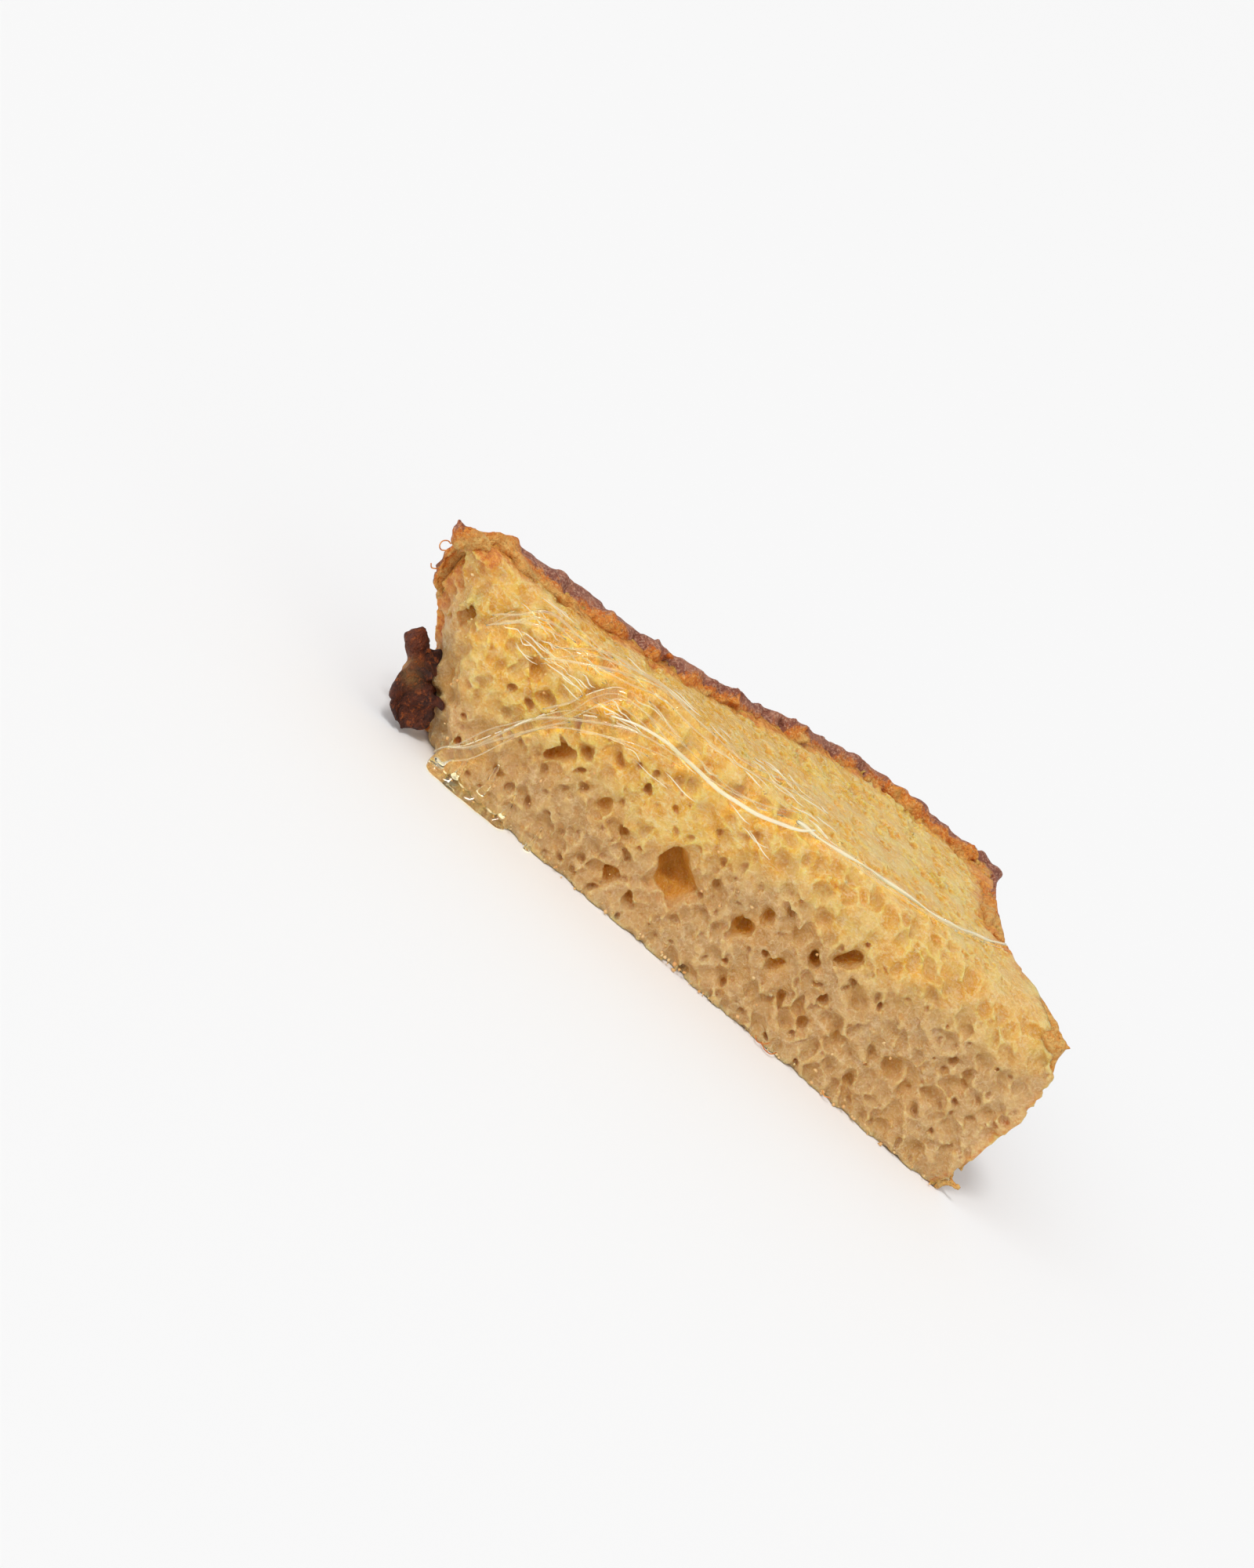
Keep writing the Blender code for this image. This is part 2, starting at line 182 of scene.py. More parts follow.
def skin(name, field, guides, merge, smoothing, rounds, share):
    # wraps a field's zero surface in a closed mesh; merge is how freely flat parts are joined,
    # and guides gives the values that the materials read on its points
    grid = openvdb.FloatGrid(float(4 * room.step))
    grid.copyFromArray(np.ascontiguousarray(field, dtype=np.float32))
    grid.transform = openvdb.createLinearTransform(room.step)
    points, triangles, quads = grid.convertToPolygons(0.0, merge)
    wrap = bpy.data.meshes.new(name + "_wrap")
    wrap.from_pydata((points + room.low) * mm, [], triangles.tolist() + quads.tolist())
    bm = opened(wrap)
    keepParts(bm, share)
    for _ in range(rounds):
        bmesh.ops.smooth_vert(bm, verts=bm.verts, factor=smoothing,
                              use_axis_x=True, use_axis_y=True, use_axis_z=True)
    if bm.calc_volume(signed=True) < 0:
        bmesh.ops.reverse_faces(bm, faces=bm.faces)
    piece = asPiece(name, bm)
    places = np.empty(len(piece.data.vertices) * 3)
    piece.data.vertices.foreach_get("co", places)
    for key, values in guides(places.reshape(-1, 3) / mm).items():
        layer = piece.data.attributes.new(key, "FLOAT", "POINT")
        layer.data.foreach_set("value", np.asarray(values, dtype=np.float32))
    return piece


class Socket:  # wraps an output so that sums are written as sums
    def __init__(self, tree, out):
        self.tree, self.out = tree, out

    def maths(self, operation, first, second, clamp=False):
        return self.tree.add("ShaderNodeMath", {"operation": operation, "use_clamp": clamp},
                             {0: first, 1: second})

    def __add__(self, other):
        return self.maths("ADD", self, other)

    def __radd__(self, other):
        return self.maths("ADD", other, self)

    def __sub__(self, other):
        return self.maths("SUBTRACT", self, other)

    def __rsub__(self, other):
        return self.maths("SUBTRACT", other, self)

    def __mul__(self, other):
        return self.maths("MULTIPLY", self, other)

    def __rmul__(self, other):
        return self.maths("MULTIPLY", other, self)

    def __abs__(self):
        return self.maths("ABSOLUTE", self, 0.0)

    def clamped(self):
        return self.maths("ADD", self, 0.0, clamp=True)


class Finish:  # one material and its node tree
    def __init__(self, name, tones=None, **shaderValues):
        self.tones = tones or {}
        self.material = bpy.data.materials.new(name)
        self.material.use_nodes = True
        self.nodes = self.material.node_tree.nodes
        self.shader = self.nodes["Principled BSDF"]
        for key, value in shaderValues.items():
            self.shader.inputs[key.replace("_", " ")].default_value = value

    def add(self, kind, settings=None, values=None, output=0):
        node = self.nodes.new(kind)
        for key, value in (settings or {}).items():
            setattr(node, key, value)
        for key, value in (values or {}).items():
            if isinstance(value, Socket):
                self.material.node_tree.links.new(value.out, node.inputs[key])
            else:
                node.inputs[key].default_value = value
        return Socket(self, node.outputs[output])

    def feed(self, **links):
        for key, value in links.items():
            name = key.replace("_", " ")
            self.material.node_tree.links.new(value.out, self.shader.inputs[name])

    def place(self):
        return self.add("ShaderNodeTexCoord", output="Object")

    def value(self, name):
        return self.add("ShaderNodeAttribute", {"attribute_name": name}, output="Fac")

    def speckle(self, scale, detail=3.0, roughness=0.6, stretch=None):
        where = self.place()
        if stretch:
            where = self.add("ShaderNodeMapping", values={"Vector": where, "Scale": stretch})
        return self.add("ShaderNodeTexNoise", values={"Vector": where, "Scale": scale,
                                                      "Detail": detail, "Roughness": roughness})

    def pores(self, scale, sway, size):  # soft round pits of varied size, bent out of true
        swing = self.add("ShaderNodeTexNoise", values={"Vector": self.place(),
                                                       "Scale": 0.8 * scale}, output="Color")
        bent = self.add("ShaderNodeVectorMath", {"operation": "MULTIPLY_ADD"},
                        {0: swing, 1: (sway, sway, sway), 2: self.place()})
        tall = self.add("ShaderNodeMapping", {"vector_type": "TEXTURE"},
                        {"Vector": bent, "Rotation": (0.0, -crumb["slant"], 0.0),
                         "Scale": (1.0, 1.0, crumb["stretch"])})
        spots = {"Vector": tall, "Scale": scale}
        away = self.add("ShaderNodeTexVoronoi", values=spots)
        cell = self.add("ShaderNodeTexVoronoi", values=spots, output="Color")
        luck = self.add("ShaderNodeSeparateColor", values={0: cell}, output="Red")
        return self.step(size, 0.5 * size, away + 0.28 * luck)

    def wisps(self, scale, width, stretch=None):  # thin wavy lines where a noise crosses half
        return self.step(width, 0.0, abs(self.speckle(scale, 2.0, 0.5, stretch) - 0.5))

    def step(self, low, high, value):  # 0 below low, 1 above high, smooth between
        return self.add("ShaderNodeMapRange", {"interpolation_type": "SMOOTHSTEP"},
                        {"Value": value, "From Min": low, "From Max": high})

    def blend(self, amount, first, second):  # of links, names of the tones, or colours
        first, second = [c if isinstance(c, Socket) else colour(self.tones.get(c, c))
                         for c in (first, second)]
        return self.add("ShaderNodeMix", {"data_type": "RGBA"},
                        {"Factor": amount, 6: first, 7: second}, output=2)

    def coated(self, tone, *coats):  # lays colours over a tone, each by its own amount
        for amount, coat in coats:
            tone = self.blend(amount, tone, coat)
        return tone

    def bump(self, height, strength, distance, under=None):
        values = {"Height": height, "Strength": strength, "Distance": distance}
        if under:
            values["Normal"] = under
        return self.add("ShaderNodeBump", values=values)


def colour(display):  # a display colour, 0 to 255, as the shader wants it
    shares = [c / 255 for c in display]
    return (*[c / 12.92 if c <= 0.04045 else ((c + 0.055) / 1.055) ** 2.4 for c in shares], 1.0)


bread = {
    "thickness": 28.5, "cutY": -20.0, "tipX": -54.5,
    "outline": [(-54.5, -20.0), (-51.5, -15.0), (-46.0, -10.6), (-37.0, -8.2), (-26.0, -6.6),
                (-16.0, -3.2), (-6.0, 2.4), (4.0, 9.4), (13.0, 15.2), (23.0, 17.6),
                (32.0, 18.0), (37.5, 20.4), (40.0, 18.2), (40.3, 8.0), (42.0, -2.5),
                (46.4, -9.3), (51.8, -16.2), (55.2, -20.2)],
    "shoulderTip": 3.0, "shoulderEnd": 8.0,  # rounding of the soaked front top edge
    "bulge": 1.0,  # crust stands out at mid height
    "skinBack": 1.6, "skinEnd": 0.7,  # crust's thickness, least at both ends
    "tornFrontX": -34.0, "tornFrontLean": 0.52,
    "tornBackX": -39.4, "tornBackY": -8.0, "tornBackLeanX": 0.66, "tornBackLeanY": 0.29,
    "lipHeight": 24.0,
    "settleRounds": 5, "settleProbe": 0.4,  # for points moved onto the skin
    "voxel": 0.26,
}
room = Volume((-58.0, -24.5, -1.3), (58.5, 24.5, 32.2), bread["voxel"])
top = bread["thickness"]


def outlineDistance(volume):  # signed plan distance from the crust line, negative inside
    route = smoothRoute(bread["outline"], 4)
    lead, tail = route[0] * 2.5 - route[1] * 1.5, route[-1] * 2.5 - route[-2] * 1.5
    loop = np.vstack([lead, route, tail, [tail[0] + 6, -90.0], [lead[0] - 6, -90.0]])
    px, py = volume.x[:, :, 0], volume.y[:, :, 0]
    near = np.full((volume.shape[0], volume.shape[1]), 1e6)
    inside = np.zeros(near.shape, dtype=bool)
    for a, b in zip(loop, np.roll(loop, -1, axis=0)):
        span = b - a
        along = np.clip(((px - a[0]) * span[0] + (py - a[1]) * span[1]) / (span @ span), 0, 1)
        near = np.minimum(near, np.hypot(px - a[0] - along * span[0], py - a[1] - along * span[1]))
        crosses = ((a[1] > py) != (b[1] > py)) & \
                  (px < a[0] + (py - a[1]) * span[0] / (span[1] if span[1] else 1e-9))
        inside ^= crosses
    return np.where(inside, -near, near)[:, :, None].astype(np.float32)


def tornDistance(volume):  # positive where the tip is torn away
    level = np.minimum(volume.z, bread["lipHeight"])
    lip = np.clip((volume.z - bread["lipHeight"]) / (top - bread["lipHeight"]), 0, 1)
    frontX = bread["tornFrontX"] - bread["tornFrontLean"] * level
    frontX = frontX + lip * (bread["tipX"] - 2 - frontX)
    backX = bread["tornBackX"] - bread["tornBackLeanX"] * level
    backX = backX + lip * (bread["tipX"] - 4 - backX)
    backY = bread["tornBackY"] - bread["tornBackLeanY"] * level
    spanX, spanY = backX - frontX, backY - bread["cutY"]
    length = np.sqrt(spanX ** 2 + spanY ** 2)
    return -((volume.x - frontX) * spanY - (volume.y - bread["cutY"]) * spanX) / length


print("working out the bread's form")
broad = room.noise(7.0, 11)
mid = room.noise(2.6, 12)
fine = room.noise(1.1, 13)
grain = room.noise(0.62, 14)
crustLine = outlineDistance(room)
middle = np.sin(np.pi * np.clip(room.z / top, 0.0, 1.0))
outer = crustLine - bread["bulge"] * middle - 0.35 * broad * middle
torn = tornDistance(room) + 0.6 * mid + 0.3 * fine + 0.4 * broad
cut = bread["cutY"] - room.y + 0.15 * broad
along = np.clip((room.x - bread["tipX"]) / (-2 * bread["tipX"]), 0.0, 1.0)
shoulder = bread["shoulderTip"] + (bread["shoulderEnd"] - bread["shoulderTip"]) * along


def thinnessAt(x):  # 1 where the crust thins out, at the end and the tip
    return np.maximum(fade(37.0, 44.0, x), 0.7 * fade(-44.0, -50.0, x))


def skinThickAt(x):
    return bread["skinBack"] + (bread["skinEnd"] - bread["skinBack"]) * thinnessAt(x)


def flangeAt(x, z):  # the crust widens towards the top
    return fade(top - 4.0, top - 0.5, z) * (0.9 + 1.3 * fade(-8.0, -36.0, x)) \
        * (1.0 - 0.8 * fade(37.0, 44.0, x))


endward = fade(38.0, 47.0, room.x + (1.2 * broad + 1.0 * mid) * fade(-16.0, -8.0, room.y))
rimward = np.exp(-np.maximum(-outer - 1.0, 0.0) / 2.2)
upper = room.z - top + 0.25 + 0.14 * broad + 0.12 * mid - 0.3 * rimward
wholeCrumb = within(cut, (upper, shoulder), (outer + 0.9 - 0.8 * endward, 0.8),
                    (-room.z, 0.15), (torn, 0.8))


def ontoBread(points):  # moves points along the field's slope onto the bread's skin
    points = np.array(points, dtype=float)
    probe = bread["settleProbe"]
    for _ in range(bread["settleRounds"]):
        here = room.sample(wholeCrumb, points)
        slope = np.stack([room.sample(wholeCrumb, points + d) - room.sample(wholeCrumb, points - d)
                          for d in probe * np.eye(3)], axis=1) / (2 * probe)
        points = points - (here / np.maximum((slope ** 2).sum(axis=1), 0.2))[:, None] * slope
    return points, slope / np.linalg.norm(slope, axis=1)[:, None]


crumb = {
    "slant": math.radians(43), "stretch": 1.35,
    "warp": 0.35, "warpCell": 1.4,  # bends the hollows a little out of true
    "corners": (5, 8), "cornerJitter": 0.3,  # hollows have a few soft corners
    # the big holes: x and z of the mouth, width and height on the slant, depth
    "holes": [
        (-24.1, 13.4, 4.2, 2.6, 3.6), (-21.6, 15.9, 2.1, 3.0, 2.4), (-20.8, 12.9, 1.8, 1.2, 1.8),
        (-15.2, 11.6, 2.4, 1.9, 2.4), (-20.6, 9.4, 1.8, 2.2, 1.4), (-10.9, 10.9, 1.6, 2.0, 2.0),
        (-8.7, 8.4, 1.6, 1.1, 1.6), (-12.4, 6.4, 2.4, 3.3, 1.3), (-8.5, 4.8, 2.1, 3.3, 3.2),
        (-6.3, 7.6, 2.9, 2.5, 0.9), (-8.6, 1.8, 1.8, 1.2, 1.4), (-3.9, 3.4, 1.3, 3.0, 2.4),
        (-3.6, 1.5, 0.8, 1.2, 1.4), (-17.7, 18.0, 1.6, 2.2, 1.8), (-15.8, 19.0, 1.0, 1.6, 1.4),
        (-3.8, 15.8, 1.6, 1.9, 1.2), (-3.8, 7.4, 0.7, 1.2, 1.2), (-0.9, 5.2, 1.8, 1.4, 1.0),
        (3.2, 7.0, 1.6, 2.2, 0.9), (-26.1, 11.0, 1.6, 1.0, 1.0), (-11.4, 3.9, 0.8, 1.1, 1.4),
        (9.5, 11.0, 3.4, 3.0, 3.2), (10.9, 9.6, 1.6, 1.9, 1.4), (11.6, 14.3, 1.8, 2.2, 2.4),
        (16.4, 15.3, 3.9, 3.3, 1.5), (16.8, 10.2, 3.4, 2.5, 2.0), (20.1, 13.9, 2.5, 2.2, 3.0),
        (23.2, 17.5, 3.7, 3.0, 3.0), (23.8, 20.4, 0.8, 1.1, 1.2), (22.3, 11.9, 0.9, 0.8, 1.2),
        (25.7, 14.0, 1.2, 1.4, 1.4), (20.4, 6.4, 1.4, 3.0, 1.8), (22.7, 8.0, 1.6, 3.3, 1.5),
        (24.6, 10.5, 1.3, 1.6, 2.0), (25.1, 5.9, 1.6, 2.2, 2.0), (26.4, 8.7, 2.6, 1.6, 1.3),
        (28.6, 13.7, 2.1, 2.2, 1.1), (31.0, 15.5, 1.0, 1.0, 1.4), (31.6, 11.5, 1.8, 1.8, 0.8),
        (26.3, 3.6, 3.9, 0.6, 1.2), (29.8, 7.5, 2.9, 1.9, 1.2), (32.3, 3.5, 2.1, 1.6, 1.2),
        (37.1, 6.2, 2.1, 3.0, 1.2), (37.7, 9.4, 2.4, 3.6, 1.3), (14.9, 5.7, 2.1, 1.4, 0.9),
        (13.2, 8.1, 1.6, 2.7, 0.9), (43.5, 15.9, 2.5, 1.5, 2.2), (44.4, 10.2, 2.5, 2.8, 1.4),
        (46.6, 15.6, 1.5, 1.5, 1.4), (41.8, 24.2, 2.1, 1.7, 1.2), (-34.4, 20.1, 2.2, 3.3, 1.8),
        (-30.4, 17.9, 3.2, 3.0, 1.4), (-26.5, 22.6, 2.7, 3.2, 1.2), (-38.6, 25.6, 2.3, 0.8, 2.2),
    ],
    # the biggest hole's mouth: the angle and distance of each side from its middle
    "cave": {"middle": (-1.4, 10.5), "depth": 5.6, "lean": 0.15, "reach": 8.0, "sharp": 24,
             "sides": [(70, 4.1), (22, 2.5), (-12, 2.8), (-59, 3.4), (207, 3.05), (179, 2.45),
                       (135, 3.45)]},
    "tipHollows": [(-42.6, -16.4, 9.6, 2.0, 2.2, 2.6), (-45.4, -17.6, 20.0, 1.0, 1.6, 2.8)],
    # packed hollows: candidates tried, mouth sizes, how far their centres stand out
    "cells": {"tries": 20000, "mouths": (0.4, 1.45), "proud": (0.08, 0.74), "pack": (0.72, 0.86)},
    "pits": {"tries": 14000, "mouths": (0.34, 0.95), "proud": (0.1, 0.7), "pack": (0.78, 0.8)},
    "small": {"tries": 420, "mouths": (0.3, 0.75), "proud": (-0.4, 0.1), "pack": (1.5, 1.9),
              "reach": 2.2},
    "streaks": {"tries": 1600, "mouths": (0.3, 1.1), "proud": (0.0, 0.7), "pack": (0.8, 0.8)},
    "seed": 7,
    "skin": {"merge": 0.42, "smoothing": 0.2, "rounds": 1, "share": 0.5},
}


warped = [axis + crumb["warp"] * room.noise(crumb["warpCell"], seed)
          for axis, seed in ((room.x, 31), (room.y, 32), (room.z, 33))]
random = np.random.default_rng(crumb["seed"])


def cornered(a, b, sides, sharp):  # like a distance, but 1 on a polygon with soft corners
    total = 0.0
    for angle, far in sides:
        total = total + np.maximum((a * math.cos(angle) + b * math.sin(angle)) / far, 0.0) ** sharp
    return total ** (1.0 / sharp)


def someSides():
    count = random.integers(*crumb["corners"])
    angles = 2 * math.pi * (np.arange(count) + random.uniform(-0.2, 0.2, count)) / count
    fars = 1.0 + crumb["cornerJitter"] * random.uniform(-1.0, 1.0, count)
    return list(zip(angles + random.uniform(0, 6), fars))


def hollowDistance(where, centre, radii, turn, sides, sharp=8, lean=0.0):
    x, y, z = [axis[where] - place for axis, place in zip(warped, centre)]
    right, up = turned(x, z, turn)
    mouth = cornered((right + lean * y) / radii[0], (up - lean * y) / radii[2], sides, sharp)
    return (np.sqrt(mouth ** 2 + (y / radii[1]) ** 2) - 1.0) * min(radii)


def carve(field, eggs, turn):  # presses rounded hollows into a field of hollows
    for centre, radii in eggs:
        where = room.block(centre, 1.15 * max(radii) + crumb["warp"] + 0.8)
        if where is not None:
            here = hollowDistance(where, centre, radii, turn, someSides())
            field[where] = np.minimum(field[where], here)


def packHollows(spots, settings, stretch):
    # from large to small, each keeps its place if its mouth touches none of the ones before
    low, high = settings["mouths"]
    mouths = np.sort(low * (high / low) ** (random.random(len(spots)) ** 2.0))[::-1]
    spots, outward = ontoBread(spots)
    proud = random.uniform(*settings["proud"], len(spots))
    pack = np.interp(spots[:, 0], (-30.0, 20.0), settings["pack"])  # denser to the left
    kept, sizes, eggs = np.empty((len(spots), 3)), np.empty(len(spots)), []
    count = 0
    for spot, out, mouth, stand, closeness in zip(spots, outward, mouths, proud, pack):
        if count:
            gaps = np.linalg.norm(kept[:count] - spot, axis=1) - sizes[:count]
            if gaps.min() < mouth * closeness:
                continue
        kept[count], sizes[count] = spot, mouth * closeness
        count += 1
        radius = mouth / math.sqrt(1.0 - stand * stand)
        reach = radius * settings.get("reach", 1.0)
        eggs.append((spot + out * radius * stand, (radius, reach, radius * stretch)))
    print(f"  {count} hollows")
    return eggs


def spread(count, *ranges):
    return np.stack([random.uniform(low, high, count) for low, high in ranges], axis=1)


print("pressing the crumb's pores")
tipX, cutY, backY = bread["tipX"], bread["cutY"], 20.0
deep = np.full(room.shape, 3.0, dtype=np.float32)
shallow = np.full(room.shape, 3.0, dtype=np.float32)
carve(deep, [((x, cutY + 0.1 * d, z), (w / 2, d, h / 2)) for x, z, w, h, d in crumb["holes"]],
      crumb["slant"])
carve(deep, [((x, y, z), (w, d, h)) for x, y, z, w, d, h in crumb["tipHollows"]], 0.25)
cave = crumb["cave"]
caveSpot = (cave["middle"][0], cutY, cave["middle"][1])
where = room.block(caveSpot, cave["reach"])
sides = [(math.radians(angle), far) for angle, far in cave["sides"]]
deep[where] = np.minimum(deep[where], hollowDistance(
    where, caveSpot, (1.0, cave["depth"], 1.0), crumb["slant"], sides, cave["sharp"], cave["lean"]))
small = spread(crumb["small"]["tries"], (-38, 52), (cutY, cutY), (0.8, 20))
carve(deep, packHollows(small, crumb["small"], crumb["stretch"]), crumb["slant"])
cells = spread(crumb["cells"]["tries"], (tipX, -tipX), (cutY, cutY), (0.1, top))
carve(shallow, packHollows(cells, crumb["cells"], crumb["stretch"]), crumb["slant"])
for height in (0.0, top):
    pits = spread(crumb["pits"]["tries"], (tipX, 42), (cutY + 3.0, backY), (height, height))
    pits = pits[room.sample(crustLine * np.ones(room.shape), pits) < -1.0]
    carve(shallow, packHollows(pits, crumb["pits"], 1.0), 0.0)
level = random.uniform(0.5, 25.0, crumb["streaks"]["tries"])
share = random.random(crumb["streaks"]["tries"])
streaks = np.stack([bread["tornFrontX"] - bread["tornFrontLean"] * level
                    - share * (4.0 + 0.14 * level), cutY + share * (12.0 - 0.29 * level), level],
                   axis=1)
carve(shallow, packHollows(streaks, crumb["streaks"], 1.9), 0.3)
deep = deep + 0.08 * fine
shallow = shallow + 0.06 * fine + 0.05 + 0.08 * broad
unseen = fade(2.2, 1.2, -outer) * (1.0 - endward)  # skin that the crust covers
grainy = (0.1 * fine + 0.1 * grain) * (1.0 - unseen) * fade(0.0, 0.8, room.z)
crumbField = within(wholeCrumb + grainy, (-shallow, 0.1), (-deep, 0.12))

honey = {
    "sunk": 0.5,  # how far the honey reaches into the crumb
    # flows: half width, height over the bread, route over the surface
    "flows": [
        (1.1, 0.65, [(-36.4, -20, 1.0), (-35.0, -20, 3.5), (-33.4, -20, 5.8), (-31.5, -20, 10.0),
                     (-29.5, -20, 14.0), (-26.9, -20, 17.3), (-23.5, -20, 19.8),
                     (-19.6, -20, 21.5), (-15.3, -20, 22.8), (-11.8, -20, 23.6)]),
        (1.0, 0.65, [(-29.3, -20, 15.3), (-27.3, -20, 19.3), (-26.0, -20, 22.6),
                     (-24.1, -20, 25.1), (-20.6, -20, 25.8), (-16.2, -20, 25.4),
                     (-11.9, -20, 25.1), (-6.0, -20, 25.2), (0.0, -19.5, 26.4),
                     (5.0, -18, 28.0)]),
        (0.9, 0.6, [(-35.2, -20, 22.2), (-31.3, -20, 25.5),
                    (-25.7, -19, 28.0), (-19.5, -17, 28.5), (-12.2, -17.7, 28.3),
                    (-4.2, -16.7, 28.5), (5.1, -10.4, 28.5)]),
        (0.7, 0.55, [(-43.3, -20, 20.7), (-41.6, -20, 23.5), (-38.5, -20, 26.2),
                    (-32.9, -20, 27.4), (-26.5, -19.4, 27.7), (-21.0, -18.5, 28.0)]),
        (0.35, 0.35, [(5.1, -19.2, 27.9), (10.7, -18.8, 28.3), (19.0, -16.4, 28.5),
                     (28.9, -14.8, 28.5), (34.5, -11.3, 28.5), (41.0, -5.8, 28.5)]),
    ],
    "strandOffsets": [-1.3, -0.6, 0.0, 0.7, 1.3],
    "strandSizes": (0.1, 0.24),
    # fine lines of honey over the soaked bread: how many, length, size
    "wisps": 80, "wispRange": (-42.0, 8.0), "wispLengths": (1.5, 6.0), "wispSizes": (0.06, 0.12),
    # the fresh thread that lies on top, and its thin run to the right
    "thread": [(-23.0, -21, 22.2), (-19.5, -21, 23.6), (-15.2, -21, 24.3), (-12.6, -20.9, 24.2),
               (-9.6, -20.7, 24.1), (-6.0, -20.6, 23.9), (-2.9, -20.8, 24.3),
               (0.1, -20.8, 24.8), (3.8, -20.2, 26.1), (6.2, -19.7, 27.2), (7.8, -18.6, 28.4)],
    "threadSize": 0.3,
    # pooled drops: x, y, z, half length, half width
    "drops": [(-28.0, -20.2, 25.0, 1.6, 0.6), (0.4, -18.8, 28.0, 1.4, 0.5),
              (2.6, -19.0, 28.2, 1.0, 0.45), (10.2, -18.4, 28.4, 1.3, 0.7),
              (12.8, -16.6, 28.5, 1.2, 0.8), (15.2, -16.8, 28.5, 0.8, 0.5),
              (-16.5, -18.5, 28.3, 0.9, 0.35), (31.5, -13.2, 28.5, 1.5, 0.5),
              (36.5, -9.8, 28.5, 1.1, 0.5), (-24.5, -20.0, 23.0, 0.8, 0.4)],
    # drips that reach the foot: x, half width, starting height
    "drips": [(-35.2, 0.9, 3.4), (-32.6, 0.7, 5.0), (-28.6, 0.9, 6.5), (-24.4, 0.65, 5.0),
              (-19.0, 0.6, 3.8)],
    "pool": {"x": -29.0, "halfLength": 7.5, "reach": 2.0, "height": 1.15},
    "skin": {"merge": 0.02, "smoothing": 0.5, "rounds": 5, "share": 0.02},
}


def capsuleField(routes, reach):  # distance from routes with a radius at each point
    found = np.full(room.shape, reach, dtype=np.float32)
    for route, radii in routes:
        for a, b, ra, rb in zip(route, route[1:], radii, radii[1:]):
            where = room.block((a + b) / 2, np.linalg.norm(b - a) / 2 + max(ra, rb) + reach)
            if where is None:
                continue
            t, away = alongSpan(room.local(where), a, b)
            found[where] = np.minimum(found[where], away - (ra + (rb - ra) * t))
    return found


def strands(name, runs):  # closed round threads as one mesh
    curve = bpy.data.curves.new(name, "CURVE")
    curve.dimensions, curve.bevel_depth, curve.bevel_resolution = "3D", 1.0, 2
    curve.use_fill_caps = True
    for route, radii in runs:
        spline = curve.splines.new("POLY")
        spline.points.add(len(route) - 1)
        for point, place, radius in zip(spline.points, route, radii):
            point.co, point.radius = (*(np.array(place) * mm), 1.0), radius * mm
    line = bpy.data.objects.new(name + "_line", curve)
    scene.collection.objects.link(line)
    depsgraph = bpy.context.evaluated_depsgraph_get()
    bm = opened(bpy.data.meshes.new_from_object(line.evaluated_get(depsgraph)))
    bpy.data.objects.remove(line)
    bmesh.ops.remove_doubles(bm, verts=bm.verts, dist=0.002 * mm)
    bmesh.ops.recalc_face_normals(bm, faces=bm.faces)
    return asPiece(name, bm)


def taper(count, start, end, power):  # swells from a thin start and thins to the end
    return np.sin(np.pi * np.linspace(start, end, count)) ** power


def strandRuns(route, out, halfWidth, height):  # fine strands along a flow
    runs = []
    steps = np.linspace(0.0, 1.0, len(route))
    side = np.cross(out, np.gradient(route, axis=0))
    side = side / np.linalg.norm(side, axis=1)[:, None]
    low, high = honey["strandSizes"]
    for index, offset in enumerate(honey["strandOffsets"]):
        sway = offset * halfWidth + 0.3 * np.sin((5.0 + index) * steps * 2.2 + 2.1 * index)
        start, end = sorted(random.integers(0, len(route), 2))
        if end - start < 8:
            start, end = 0, len(route)
        spots, away = ontoBread((route + side * sway[:, None])[start:end])
        lift = height * np.sqrt(np.clip(1.0 - (offset / 1.5) ** 2, 0.1, 1.0))
        size = low + (high - low) * random.random() ** 2
        runs.append((spots + away * lift, size * taper(len(spots), 0.04, 0.96, 0.5)))
    return runs


def wispRuns():  # short wavy lines over the soaked front and the top
    runs = []
    for _ in range(honey["wisps"]):
        x = random.uniform(*honey["wispRange"])
        onTop = random.random() < 0.25 + 0.6 * fade(-30.0, 5.0, x)
        start = np.array([x, random.uniform(-19.0, -10.0 + 0.2 * x), top] if onTop
                         else [x, cutY, random.uniform(18.5 + 0.1 * abs(x + 20), 26.5)])
        length = random.uniform(*honey["wispLengths"])
        lean = random.normal(0.02, 0.06)
        steps = np.linspace(0.0, 1.0, max(6, int(length / 0.7)))
        wave = random.uniform(0.1, 0.4) * np.sin(random.uniform(3, 8) * steps + random.uniform(0, 6))
        drift = lean * length * steps + wave
        away = np.array([0.0, 1.0, 0.0] if onTop else [0.0, 0.0, 1.0])
        line = start + np.outer(steps * length, [1.0, 0.0, 0.0]) + np.outer(drift, away)
        route, out = ontoBread(line)
        size = random.uniform(*honey["wispSizes"])
        runs.append((route + out * 0.12, size * taper(len(route), 0.03, 0.97, 0.6)))
    return runs


